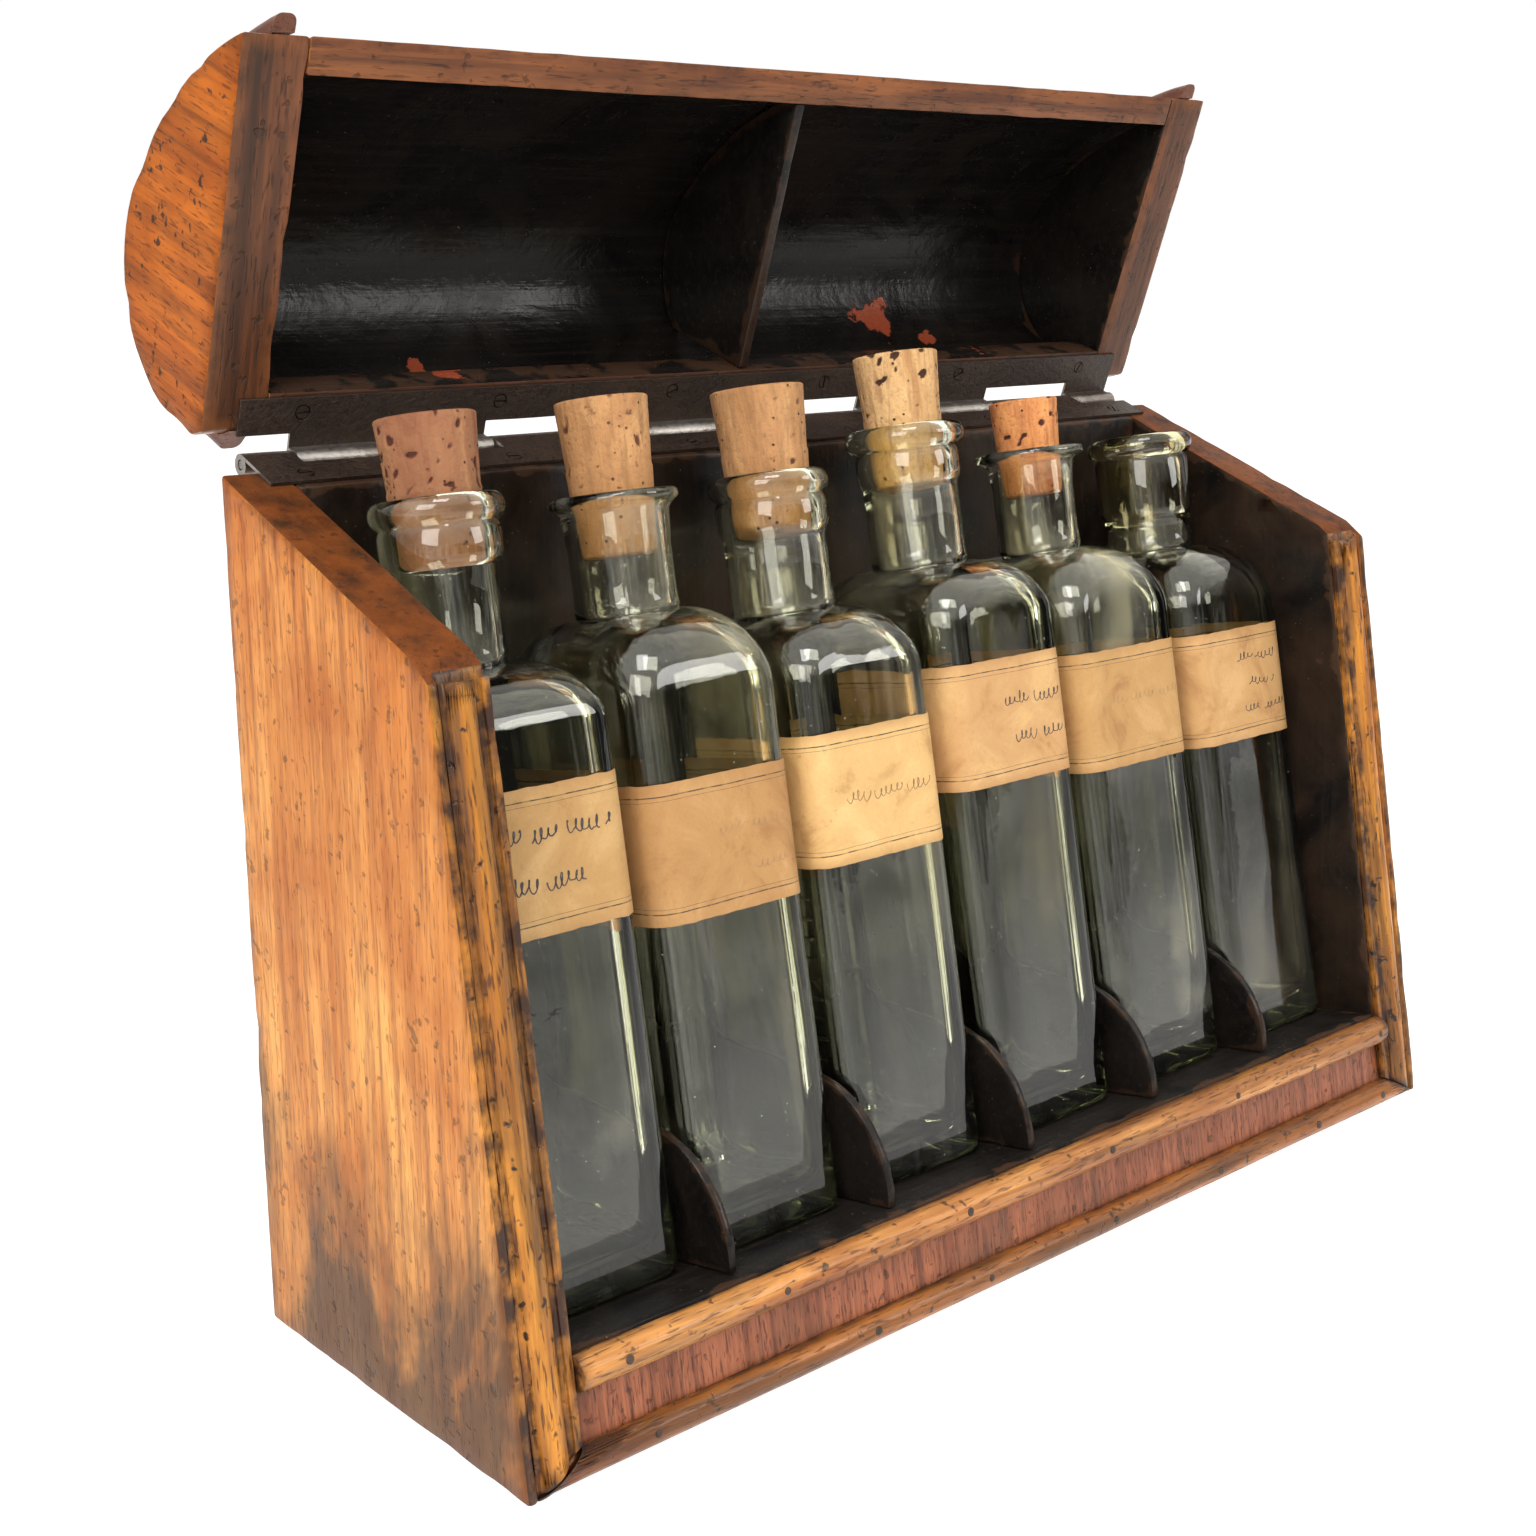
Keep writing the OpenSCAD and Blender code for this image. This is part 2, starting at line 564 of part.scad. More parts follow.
// Paper label: wraps the front and both sides of its bottle
module label(i) color("#c99a55") at_bay(i) translate([0, 0, label_z[i]]) difference() {
    linear_extrude(height = label_h) section(-label_t);
    translate([0, 0, -1]) linear_extrude(height = label_h + 2) section(0);
    translate([-bottle_w, bottle_d / 2 - label_open, -1])
        cube([2 * bottle_w, bottle_d, label_h + 2]);
}
module label_1() label(0);
module label_2() label(1);
module label_3() label(2);
module label_4() label(3);
module label_5() label(4);
module label_6() label(5);

// Tapered cork, pushed part way into the neck
module cork(i) color("#c79a68") at_bay(i) translate([0, 0, lip_z(i) - cork_in[i]]) {
    r_lip = bore_r[i] - cork_gap;
    cylinder(h = cork_in[i] + cork_out[i], r1 = r_lip - cork_taper * cork_in[i],
        r2 = r_lip + cork_taper * cork_out[i]);
}
module cork_1() cork(0);
module cork_2() cork(1);
module cork_3() cork(2);
module cork_4() cork(3);
module cork_5() cork(4);

base_board();
floor_board();
back_panel();
left_side();
right_side();
front_rail();
upper_bead();
lower_bead();
left_bead();
right_bead();
divider_1();
divider_2();
divider_3();
divider_4();
divider_5();
bead_nails();
hinge_case_leaf();
hinge_pin();
case_screws();
lid_left_end();
lid_right_end();
lid_shell();
lid_front_rail();
lid_back_rail();
lid_divider();
lid_left_hoop();
lid_right_hoop();
hinge_lid_leaf();
lid_screws();
bottle_1();
bottle_2();
bottle_3();
bottle_4();
bottle_5();
bottle_6();
label_1();
label_2();
label_3();
label_4();
label_5();
label_6();
cork_1();
cork_2();
cork_3();
cork_4();
cork_5();
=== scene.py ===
import math
import random

import bmesh
import bpy
from mathutils import Matrix, Vector, noise
from mathutils.kdtree import KDTree


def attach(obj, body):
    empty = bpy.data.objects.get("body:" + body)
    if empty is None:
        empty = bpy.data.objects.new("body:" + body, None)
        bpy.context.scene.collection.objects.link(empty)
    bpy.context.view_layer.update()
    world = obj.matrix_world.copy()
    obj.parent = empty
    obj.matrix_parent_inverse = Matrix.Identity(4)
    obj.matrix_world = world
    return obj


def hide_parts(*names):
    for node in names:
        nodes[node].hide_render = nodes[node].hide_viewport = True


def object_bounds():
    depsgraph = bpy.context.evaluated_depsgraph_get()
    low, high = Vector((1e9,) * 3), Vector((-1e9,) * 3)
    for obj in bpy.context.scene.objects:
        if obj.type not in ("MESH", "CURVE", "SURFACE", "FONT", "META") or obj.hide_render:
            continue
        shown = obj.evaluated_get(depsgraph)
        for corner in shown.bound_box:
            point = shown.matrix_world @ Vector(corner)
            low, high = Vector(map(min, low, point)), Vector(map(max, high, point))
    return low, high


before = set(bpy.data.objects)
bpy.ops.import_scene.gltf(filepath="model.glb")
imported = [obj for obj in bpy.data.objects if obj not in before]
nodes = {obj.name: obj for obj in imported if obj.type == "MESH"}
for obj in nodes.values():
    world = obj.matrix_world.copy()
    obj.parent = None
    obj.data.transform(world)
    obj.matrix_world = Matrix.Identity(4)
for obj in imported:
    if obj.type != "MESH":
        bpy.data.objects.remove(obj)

cadLow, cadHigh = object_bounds()
mm = 0.001
lean = 9.5  # backward lean of the bottles, in degrees
hingeLine = (0.0565, 0.189)  # y and z of the hinge pin
print("frame loaded:", len(nodes), "CAD nodes")

# small helpers for node trees

def setSockets(tree, node, sockets):
    for name, value in sockets.items():
        if isinstance(value, bpy.types.NodeSocket):
            tree.links.new(value, node.inputs[name])
        else:
            node.inputs[name].default_value = value


def addNode(tree, kind, sockets=None, **values):
    made = tree.nodes.new(kind)
    for name, value in values.items():
        setattr(made, name, value)
    setSockets(tree, made, sockets or {})
    return made


def calc(tree, how, a, b=0.5, c=0.0, clamp=False):
    return addNode(tree, "ShaderNodeMath", {0: a, 1: b, 2: c}, operation=how, use_clamp=clamp).outputs[0]


def times(tree, a, b, clamp=False):
    return calc(tree, "MULTIPLY", a, b, clamp=clamp)


def grainNoise(tree, point, scale, detail=3.0, rough=0.55, bend=0.0):
    return addNode(tree, "ShaderNodeTexNoise", {"Vector": point, "Scale": scale, "Detail": detail,
                                                "Roughness": rough, "Distortion": bend}).outputs["Fac"]


def ramp(tree, value, stops, smooth=False):
    made = addNode(tree, "ShaderNodeValToRGB", {"Fac": value})
    band = made.color_ramp
    if smooth:
        band.interpolation = "EASE"
    while len(band.elements) < len(stops):
        band.elements.new(0.5)
    for element, (place, tone) in zip(band.elements, stops):
        element.position = place
        element.color = (*tone, 1) if isinstance(tone, tuple) else (tone, tone, tone, 1)
    return made.outputs["Color"]


def blendTones(tree, share, a, b, how="MIX"):
    made = addNode(tree, "ShaderNodeMix", data_type="RGBA", blend_type=how, clamp_factor=True)
    a, b = ((*tone, 1) if isinstance(tone, tuple) else tone for tone in (a, b))
    setSockets(tree, made, {0: share, 6: a, 7: b})
    return made.outputs[2]


def spread(tree, value, low, high, toLow=0.0, toHigh=1.0):
    return addNode(tree, "ShaderNodeMapRange", {"Value": value, "From Min": low, "From Max": high,
                                                "To Min": toLow, "To Max": toHigh}).outputs["Result"]


def startFinish(name):
    finish = bpy.data.materials.new(name)
    finish.use_nodes = True
    tree = finish.node_tree
    shader = tree.nodes["Principled BSDF"]
    return finish, tree, shader


def objectPoint(tree, scale=(1, 1, 1), turn=(0, 0, 0), place=(0, 0, 0)):
    source = addNode(tree, "ShaderNodeTexCoord").outputs["Object"]
    if scale == (1, 1, 1) and turn == (0, 0, 0) and place == (0, 0, 0):
        return source
    # turned first, then stretched, so that the grain runs along the turned axis
    turned = addNode(tree, "ShaderNodeMapping", {"Vector": source, "Location": place,
                                                 "Rotation": tuple(math.radians(a) for a in turn)}).outputs[0]
    return addNode(tree, "ShaderNodeVectorMath", {0: turned, 1: scale}, operation="MULTIPLY").outputs[0]


def heights(tree, shader, layers, strength=0.6):
    total = None
    for value, depth in layers:
        part = times(tree, value, depth)
        total = part if total is None else calc(tree, "ADD", total, part)
    relief = addNode(tree, "ShaderNodeBump", {"Height": total, "Strength": strength, "Distance": 1.0})
    tree.links.new(relief.outputs["Normal"], shader.inputs["Normal"])


def addObject(name, data):
    made = bpy.data.objects.new(name, data)
    bpy.context.collection.objects.link(made)
    return made


def meshFrom(name, made):
    mesh = bpy.data.meshes.new(name)
    made.to_mesh(mesh)
    made.free()
    return mesh


def bakedMesh(thing):
    bpy.context.view_layer.update()
    ready = thing.evaluated_get(bpy.context.evaluated_depsgraph_get())
    return bpy.data.meshes.new_from_object(ready)


def edgeShare(tree):
    return addNode(tree, "ShaderNodeAttribute", attribute_name="edge").outputs["Fac"]


# place in metres, angles in degrees
viewCamera = {"place": (-0.3456, -0.3472, 0.2241), "turn": -40.61, "tilt": -10.09, "roll": -1.02,
              "lens": 48.53, "shift": (0.0087, -0.073)}


def makeCamera(look):
    data = bpy.data.cameras.new("viewCamera")
    data.sensor_width = 36
    data.lens = look["lens"]
    data.shift_x, data.shift_y = look["shift"]
    data.clip_start, data.clip_end = 0.01, 60
    rig = addObject("viewCamera", data)
    turn, tilt, roll = (math.radians(look[k]) for k in ("turn", "tilt", "roll"))
    forward = Vector((-math.sin(turn) * math.cos(tilt), math.cos(turn) * math.cos(tilt), math.sin(tilt)))
    right = Vector((math.cos(turn), math.sin(turn), 0))
    up = right.cross(forward)
    across = right * math.cos(roll) + up * math.sin(roll)
    top = up * math.cos(roll) - right * math.sin(roll)
    rig.matrix_world = Matrix.Translation(look["place"]) @ Matrix((across, top, -forward)).transposed().to_4x4()
    bpy.context.scene.camera = rig


studio = {"seen": (1.0, 1.0, 1.0), "soft": (0.3, 0.295, 0.285), "bright": (1.9, 1.86, 1.76), "dim": (0.04, 0.04, 0.04),
          "lamps": [("keyLamp", (-1.15, -0.7, 0.85), 0.8, 16.5, (1.0, 0.97, 0.92)),
                    ("fillLamp", (0.85, -1.15, 0.7), 0.5, 6.5, (1.0, 0.98, 0.95)),
                    ("topLamp", (-0.35, -0.45, 1.35), 0.5, 9.0, (1.0, 0.99, 0.97))]}


def makeStudio(look):
    world = bpy.data.worlds.new("paleRoom")
    bpy.context.scene.world = world
    world.use_nodes = True
    tree = world.node_tree
    back = tree.nodes["Background"]
    way = addNode(tree, "ShaderNodeTexCoord").outputs["Generated"]
    part = addNode(tree, "ShaderNodeSeparateXYZ", {0: way})
    # soft light on everything, with bright panels overhead and on the left for the glass to mirror
    height = spread(tree, part.outputs["Z"], 0.25, 0.6)
    side = spread(tree, part.outputs["X"], 0.2, -0.8)
    flat = addNode(tree, "ShaderNodeMapping", {"Vector": way, "Scale": (1, 1, 0.22)}).outputs[0]
    panes = ramp(tree, addNode(tree, "ShaderNodeTexNoise", {"Vector": flat, "Scale": 8.5, "Detail": 1.0}).outputs[0],
                 [(0.5, 0.0), (0.62, 1.0)])
    share = calc(tree, "ADD", times(tree, height, 0.75),
                 calc(tree, "ADD", times(tree, side, 0.35), times(tree, panes, 0.4)), clamp=True)
    path = addNode(tree, "ShaderNodeLightPath")
    tone = blendTones(tree, share, look["dim"], look["bright"])
    tone = blendTones(tree, path.outputs["Is Diffuse Ray"], tone, look["soft"])
    tree.links.new(blendTones(tree, path.outputs["Is Camera Ray"], tone, look["seen"]), back.inputs["Color"])
    for name, place, size, power, tint in look["lamps"]:
        data = bpy.data.lights.new(name, "AREA")
        data.shape = "SQUARE"
        data.size, data.energy, data.color = size, power, tint
        lamp = addObject(name, data)
        lamp.location = place
        lamp.rotation_mode = "QUATERNION"
        lamp.rotation_quaternion = (Vector((0, 0, 0.12)) - Vector(place)).to_track_quat("-Z", "Y")
    bpy.context.scene.view_settings.view_transform = "Standard"


makeCamera(viewCamera)
makeStudio(studio)
print("camera and light ready")

def woodFinish(name, look):
    finish, tree, shader = startFinish(name)
    turn = look.get("turn", (0, 0, 0))
    along = look["along"]
    long = tuple(0.05 if k == along else 1.0 for k in range(3))
    short = tuple(0.12 if k == along else 1.0 for k in range(3))
    plain = objectPoint(tree)
    grain = objectPoint(tree, long, turn)
    flecks = objectPoint(tree, short, turn)
    figure = grainNoise(tree, grain, look.get("figure", 55), 4, 0.6, 1.4)
    streak = grainNoise(tree, grain, look.get("streak", 420), 5, 0.65, 0.5)
    pore = grainNoise(tree, flecks, look.get("pore", 1500), 2, 0.5)
    blotch = grainNoise(tree, plain, look.get("blotch", 24), 4, 0.6, 0.6)
    tone = ramp(tree, figure, look["tones"], True)
    darkStreak = ramp(tree, streak, [(0.36, 1.0), (0.56, 0.0)])
    tone = blendTones(tree, times(tree, darkStreak, look.get("streaks", 0.55)), tone, look["deep"])
    tone = blendTones(tree, times(tree, ramp(tree, blotch, [(0.42, 0.0), (0.66, 1.0)]),
                                 look.get("blotches", 0.5)), tone, look["patch"])
    pores = ramp(tree, pore, [(0.33, 1.0), (0.43, 0.0)])
    tone = blendTones(tree, times(tree, pores, look.get("pores", 0.6)), tone, look["deep"])
    if look.get("stain"):  # dark stains that rise from the foot of a board
        height = addNode(tree, "ShaderNodeSeparateXYZ", {0: plain}).outputs["Z"]
        cloud = grainNoise(tree, objectPoint(tree, (1, 1, 0.45), (0, 0, 0), (3, 1, 2)), 22, 5, 0.66, 0.5)
        low = spread(tree, height, look["stain"][0], look["stain"][1], 1, 0)
        dirty = ramp(tree, calc(tree, "ADD", cloud, times(tree, low, 0.26)), [(0.6, 0.0), (0.76, 1.0)])
        tone = blendTones(tree, times(tree, dirty, look["stain"][2]), tone, (0.045, 0.03, 0.018))
    if look.get("shade"):  # richer colour towards the top of a board
        height = addNode(tree, "ShaderNodeSeparateXYZ", {0: plain}).outputs["Z"]
        broad = grainNoise(tree, objectPoint(tree, (1, 1, 0.3)), 16, 3, 0.6, 0.5)
        rich = calc(tree, "ADD", spread(tree, height, *look["shade"][:2], 0, 0.8),
                    ramp(tree, broad, [(0.45, 0.0), (0.62, 0.6)]), clamp=True)
        tone = blendTones(tree, rich, tone, look["shade"][2], "MULTIPLY")
    if look.get("smudge"):  # cloudy dark polish left in patches
        cloud = grainNoise(tree, objectPoint(tree, long, turn, (1, 5, 2)), look.get("smudgeScale", 60), 4, 0.6, 1.0)
        tone = blendTones(tree, times(tree, ramp(tree, cloud, [(0.46, 0.0), (0.6, 1.0)]),
                                     look["smudge"]), tone, (0.03, 0.015, 0.008))
    worn = times(tree, edgeShare(tree), spread(tree, grainNoise(tree, plain, 150, 4), 0.3, 0.62))
    tone = blendTones(tree, times(tree, worn, look.get("edge", 0.7), clamp=True), tone,
                      look.get("edgeTone", (0.05, 0.022, 0.01)))
    pit = ramp(tree, grainNoise(tree, objectPoint(tree, place=(7, 0, 1)), 330, 2), [(0.29, 1.0), (0.36, 0.0)])
    tone = blendTones(tree, times(tree, pit, look.get("pits", 0.5)), tone, (0.02, 0.01, 0.006))
    rough = spread(tree, calc(tree, "ADD", blotch, times(tree, pores, 0.3)), 0.3, 0.9, *look.get("rough", (0.3, 0.55)))
    setSockets(tree, shader, {"Base Color": tone, "Roughness": rough, "Coat Weight": look.get("coat", 0.05),
                              "Coat Roughness": 0.25, "Specular IOR Level": look.get("shine", 0.3)})
    heights(tree, shader, [(times(tree, pores, -1), 0.00012), (streak, 0.00012), (blotch, 0.0006),
                           (times(tree, pit, -1), 0.0003)], look.get("relief", 0.7))
    return finish


def paintFinish(name, look):
    finish, tree, shader = startFinish(name)
    plain = objectPoint(tree)
    brushed = objectPoint(tree, look.get("brush", (0.04, 1, 1)), look.get("turn", (0, 0, 0)))
    marks = grainNoise(tree, brushed, 520, 3, 0.6)
    cloud = grainNoise(tree, plain, 34, 5, 0.65, 0.8)
    lumps = grainNoise(tree, plain, 240, 3, 0.6)
    tone = ramp(tree, cloud, [(0.35, (0.0035, 0.003, 0.003)), (0.65, look.get("tone", (0.009, 0.007, 0.006)))])
    tone = blendTones(tree, times(tree, ramp(tree, marks, [(0.5, 0.0), (0.72, 1.0)]), 0.35), tone,
                      (0.022, 0.016, 0.012))
    worn = ramp(tree, calc(tree, "ADD", times(tree, edgeShare(tree), 0.33),
                           grainNoise(tree, plain, 120, 4)), [(0.74, 0.0), (0.8, 1.0)])
    tone = blendTones(tree, times(tree, worn, look.get("worn", 0.8)), tone, (0.13, 0.06, 0.03))
    chipShape = grainNoise(tree, objectPoint(tree, place=look.get("chipPlace", (0, 0, 0))), 42, 4, 0.6, 0.4)
    chips = ramp(tree, chipShape, [(look.get("chips", 0.74), 0.0), (look.get("chips", 0.74) + 0.02, 1.0)])
    where = addNode(tree, "ShaderNodeSeparateXYZ", {0: plain})
    for x, z, wide, high in look.get("bare", []):  # knocks through to the red ground, each with a ragged edge
        flat = addNode(tree, "ShaderNodeCombineXYZ", {0: spread(tree, where.outputs["X"], x - wide, x + wide, -1, 1),
                                                      1: spread(tree, where.outputs["Z"], z - high, z + high, -1, 1)})
        far = addNode(tree, "ShaderNodeVectorMath", {0: flat.outputs[0]}, operation="LENGTH").outputs["Value"]
        knock = ramp(tree, calc(tree, "ADD", times(tree, far, 0.5), grainNoise(tree, plain, 160, 4, 0.6)),
                     [(0.74, 1.0), (0.78, 0.0)])
        chips = calc(tree, "MAXIMUM", chips, knock)
    tone = blendTones(tree, chips, tone, (0.3, 0.06, 0.025))
    dust = ramp(tree, addNode(tree, "ShaderNodeTexVoronoi",
                              {"Vector": plain, "Scale": 620.0, "Randomness": 1.0}).outputs["Distance"],
                [(0.05, 1.0), (0.13, 0.0)])
    some = ramp(tree, grainNoise(tree, plain, 210, 2), [(0.5, 0.0), (0.6, 1.0)])
    speck = times(tree, times(tree, dust, some), look.get("dust", 0.25))
    tone = blendTones(tree, speck, tone, (0.42, 0.36, 0.28))
    setSockets(tree, shader, {"Base Color": tone, "Roughness": spread(tree, cloud, 0.35, 0.7, *look["rough"]),
                              "Coat Weight": look.get("coat", 0.06), "Coat Roughness": 0.25,
                              "Specular IOR Level": 0.17})
    heights(tree, shader, [(marks, 0.00018), (lumps, 0.0003), (cloud, 0.0006), (chips, -0.0003)],
            look.get("relief", 0.8))
    return finish


def metalFinish(name, look):
    finish, tree, shader = startFinish(name)
    plain = objectPoint(tree)
    drawn = objectPoint(tree, (0.03, 1, 1))
    pits = grainNoise(tree, plain, 600, 5, 0.7)
    cloud = grainNoise(tree, plain, 60, 4, 0.6, 0.5)
    lines = grainNoise(tree, drawn, 1400, 3, 0.5)
    tone = ramp(tree, cloud, [(0.38, look["tone"]), (0.66, look["second"])])
    tone = blendTones(tree, times(tree, ramp(tree, pits, [(0.34, 1.0), (0.5, 0.0)]), look.get("pitDark", 0.7)),
                      tone, look["dark"])
    tone = blendTones(tree, times(tree, ramp(tree, lines, [(0.5, 0.0), (0.8, 1.0)]), 0.3), tone, look["second"])
    setSockets(tree, shader, {"Base Color": tone, "Metallic": look["metal"],
                              "Roughness": spread(tree, pits, 0.3, 0.7, *look["rough"])})
    heights(tree, shader, [(pits, look.get("depth", 0.0004)), (lines, 0.00006), (cloud, 0.0005)], 0.8)
    return finish


sideWood = woodFinish("sideWood", {"along": 2, "figure": 40, "streak": 380,
    "tones": [(0.3, (0.64, 0.24, 0.035)), (0.48, (0.86, 0.42, 0.11)), (0.62, (0.76, 0.34, 0.075)),
              (0.75, (0.5, 0.17, 0.025))],
    "deep": (0.2, 0.06, 0.016), "patch": (0.44, 0.13, 0.02), "blotches": 0.6, "stain": (0.0, 0.1, 0.85),
    "streaks": 0.6, "shade": (0.12, 0.2, (0.58, 0.36, 0.2)), "shine": 0.16,
    "pores": 0.5, "rough": (0.34, 0.52), "coat": 0.03, "edge": 0.75, "edgeTone": (0.1, 0.028, 0.008)})
endWood = woodFinish("endWood", {"along": 1, "turn": (-20, 0, 0), "figure": 50, "streak": 330,
    "tones": [(0.3, (0.33, 0.07, 0.005)), (0.5, (0.47, 0.12, 0.01)), (0.7, (0.22, 0.04, 0.004))],
    "deep": (0.06, 0.015, 0.004), "patch": (0.17, 0.032, 0.004), "blotches": 0.55, "pits": 0.9,
    "smudge": 0.3, "rough": (0.36, 0.6), "coat": 0.0, "shine": 0.1, "edge": 0.6, "edgeTone": (0.05, 0.016, 0.006)})
mouldWood = woodFinish("mouldWood", {"along": 2, "turn": (8.4, 0, 0), "figure": 60, "streak": 500,
    "tones": [(0.3, (0.52, 0.18, 0.02)), (0.55, (0.66, 0.27, 0.035)), (0.72, (0.34, 0.1, 0.012))],
    "deep": (0.06, 0.02, 0.006), "patch": (0.24, 0.07, 0.01), "blotches": 0.7, "pits": 1.0, "pores": 0.8,
    "smudge": 0.75, "smudgeScale": 90, "rough": (0.3, 0.55), "relief": 1.0, "edge": 1.25,
    "edgeTone": (0.035, 0.014, 0.007)})
beadLook = {"along": 0, "figure": 60, "streak": 450,
    "tones": [(0.3, (0.52, 0.2, 0.045)), (0.5, (0.66, 0.3, 0.08)), (0.72, (0.34, 0.11, 0.022))],
    "deep": (0.07, 0.022, 0.008), "patch": (0.26, 0.075, 0.016), "blotches": 0.6, "pits": 0.8, "pores": 0.7,
    "smudge": 0.5, "smudgeScale": 90, "rough": (0.26, 0.5), "coat": 0.12, "edge": 1.25,
    "edgeTone": (0.035, 0.014, 0.007)}
beadWood = woodFinish("beadWood", beadLook)
lowBeadWood = woodFinish("lowBeadWood", {**beadLook, "patch": (0.12, 0.03, 0.008), "smudge": 0.65, "coat": 0.06,
    "tones": [(0.3, (0.3, 0.09, 0.018)), (0.5, (0.42, 0.15, 0.03)), (0.72, (0.15, 0.04, 0.01))]})
veneerWood = woodFinish("veneerWood", {"along": 2, "turn": (8.4, 0, 0), "figure": 120, "streak": 900, "pore": 2300,
    "tones": [(0.3, (0.26, 0.075, 0.03)), (0.5, (0.36, 0.115, 0.05)), (0.72, (0.2, 0.055, 0.02))],
    "deep": (0.07, 0.02, 0.01), "patch": (0.17, 0.045, 0.018), "blotches": 0.4, "streaks": 0.7, "pores": 0.8,
    "stain": (-0.01, 0.02, 0.6), "rough": (0.3, 0.5)})
rimWood = woodFinish("rimWood", {"along": 0, "figure": 70, "streak": 420,
    "tones": [(0.3, (0.13, 0.036, 0.01)), (0.5, (0.24, 0.078, 0.022)), (0.7, (0.08, 0.022, 0.008))],
    "deep": (0.02, 0.008, 0.004), "patch": (0.06, 0.018, 0.008), "blotches": 0.6, "smudge": 0.5, "pores": 0.7,
    "rough": (0.34, 0.55), "shine": 0.25, "edgeTone": (0.26, 0.09, 0.03), "edge": 0.5})
hingeRimWood = woodFinish("hingeRimWood", {"along": 0, "figure": 70, "streak": 420,
    "tones": [(0.3, (0.035, 0.014, 0.008)), (0.5, (0.06, 0.022, 0.011)), (0.7, (0.02, 0.009, 0.006))],
    "deep": (0.01, 0.005, 0.004), "patch": (0.018, 0.008, 0.005), "smudge": 0.5, "rough": (0.34, 0.55), "shine": 0.2,
    "edgeTone": (0.12, 0.045, 0.02), "edge": 0.35})
rimEndWood = woodFinish("rimEndWood", {"along": 2, "turn": (-20, 0, 0), "figure": 70, "streak": 420,
    "tones": [(0.3, (0.07, 0.024, 0.01)), (0.5, (0.16, 0.052, 0.018)), (0.7, (0.045, 0.016, 0.008))],
    "deep": (0.014, 0.006, 0.004), "patch": (0.035, 0.012, 0.006), "blotches": 0.6, "smudge": 0.6, "pores": 0.7,
    "rough": (0.34, 0.55), "shine": 0.25, "edgeTone": (0.3, 0.1, 0.03), "edge": 0.45})
slantWood = woodFinish("slantWood", {"along": 1, "turn": (22.6, 0, 0), "figure": 60, "streak": 420,
    "tones": [(0.3, (0.04, 0.014, 0.006)), (0.5, (0.11, 0.033, 0.009)), (0.7, (0.022, 0.008, 0.004))],
    "deep": (0.01, 0.004, 0.003), "patch": (0.018, 0.007, 0.004), "blotches": 0.7, "smudge": 0.7, "pores": 0.6,
    "rough": (0.4, 0.62), "shine": 0.1, "coat": 0.0, "edgeTone": (0.3, 0.08, 0.015), "edge": 0.5})
shellWood = woodFinish("shellWood", {"along": 0, "figure": 45, "streak": 380,
    "tones": [(0.3, (0.3, 0.1, 0.03)), (0.5, (0.42, 0.16, 0.045)), (0.72, (0.2, 0.06, 0.02))],
    "deep": (0.08, 0.026, 0.01), "patch": (0.16, 0.045, 0.016), "blotches": 0.6, "smudge": 0.35,
    "rough": (0.28, 0.5), "coat": 0.25})
backWood = woodFinish("backWood", {"along": 0, "figure": 45, "streak": 380,
    "tones": [(0.3, (0.2, 0.08, 0.03)), (0.5, (0.3, 0.12, 0.045)), (0.72, (0.14, 0.05, 0.02))],
    "deep": (0.05, 0.02, 0.01), "patch": (0.1, 0.035, 0.016), "blotches": 0.6, "stain": (0.0, 0.1, 0.6),
    "rough": (0.4, 0.65), "coat": 0.08})
hoopPaint = woodFinish("hoopPaint", {"along": 1, "figure": 70, "streak": 300,
    "tones": [(0.3, (0.09, 0.025, 0.016)), (0.6, (0.15, 0.045, 0.028)), (0.8, (0.05, 0.016, 0.01))],
    "deep": (0.02, 0.008, 0.006), "patch": (0.05, 0.016, 0.01), "pores": 0.3, "rough": (0.3, 0.5),
    "edgeTone": (0.22, 0.08, 0.03), "edge": 0.4})
lidPaint = paintFinish("lidPaint", {"chips": 0.755, "worn": 0.22, "rough": (0.2, 0.4), "chipPlace": (0.31, 0.1, 0.05),
    "bare": [(0.07, 0.215, 0.012, 0.008), (0.088, 0.209, 0.006, 0.004), (-0.086, 0.207, 0.006, 0.004)]})
casePaint = paintFinish("casePaint",
                        {"brush": (1, 1, 0.05), "chips": 0.8, "worn": 0.2, "rough": (0.3, 0.5),
                         "tone": (0.022, 0.012, 0.007)})
floorPaint = paintFinish("floorPaint",
                         {"chips": 0.8, "worn": 0.3, "rough": (0.4, 0.65), "dust": 0.7, "coat": 0.1, "relief": 1.2})
dividerPaint = paintFinish("dividerPaint", {"chips": 0.8, "rough": (0.25, 0.45), "dust": 0.2, "worn": 0.14})
leafIron = metalFinish("leafIron",
                       {"tone": (0.022, 0.012, 0.008), "second": (0.038, 0.021, 0.013), "dark": (0.007, 0.004, 0.003),
                                    "metal": 0.35, "rough": (0.28, 0.5), "depth": 0.0007})
barrelSteel = metalFinish("barrelSteel",
                          {"tone": (0.4, 0.38, 0.35), "second": (0.2, 0.17, 0.15), "dark": (0.1, 0.08, 0.07),
                                          "metal": 0.95, "rough": (0.25, 0.45), "depth": 0.0002, "pitDark": 0.4})
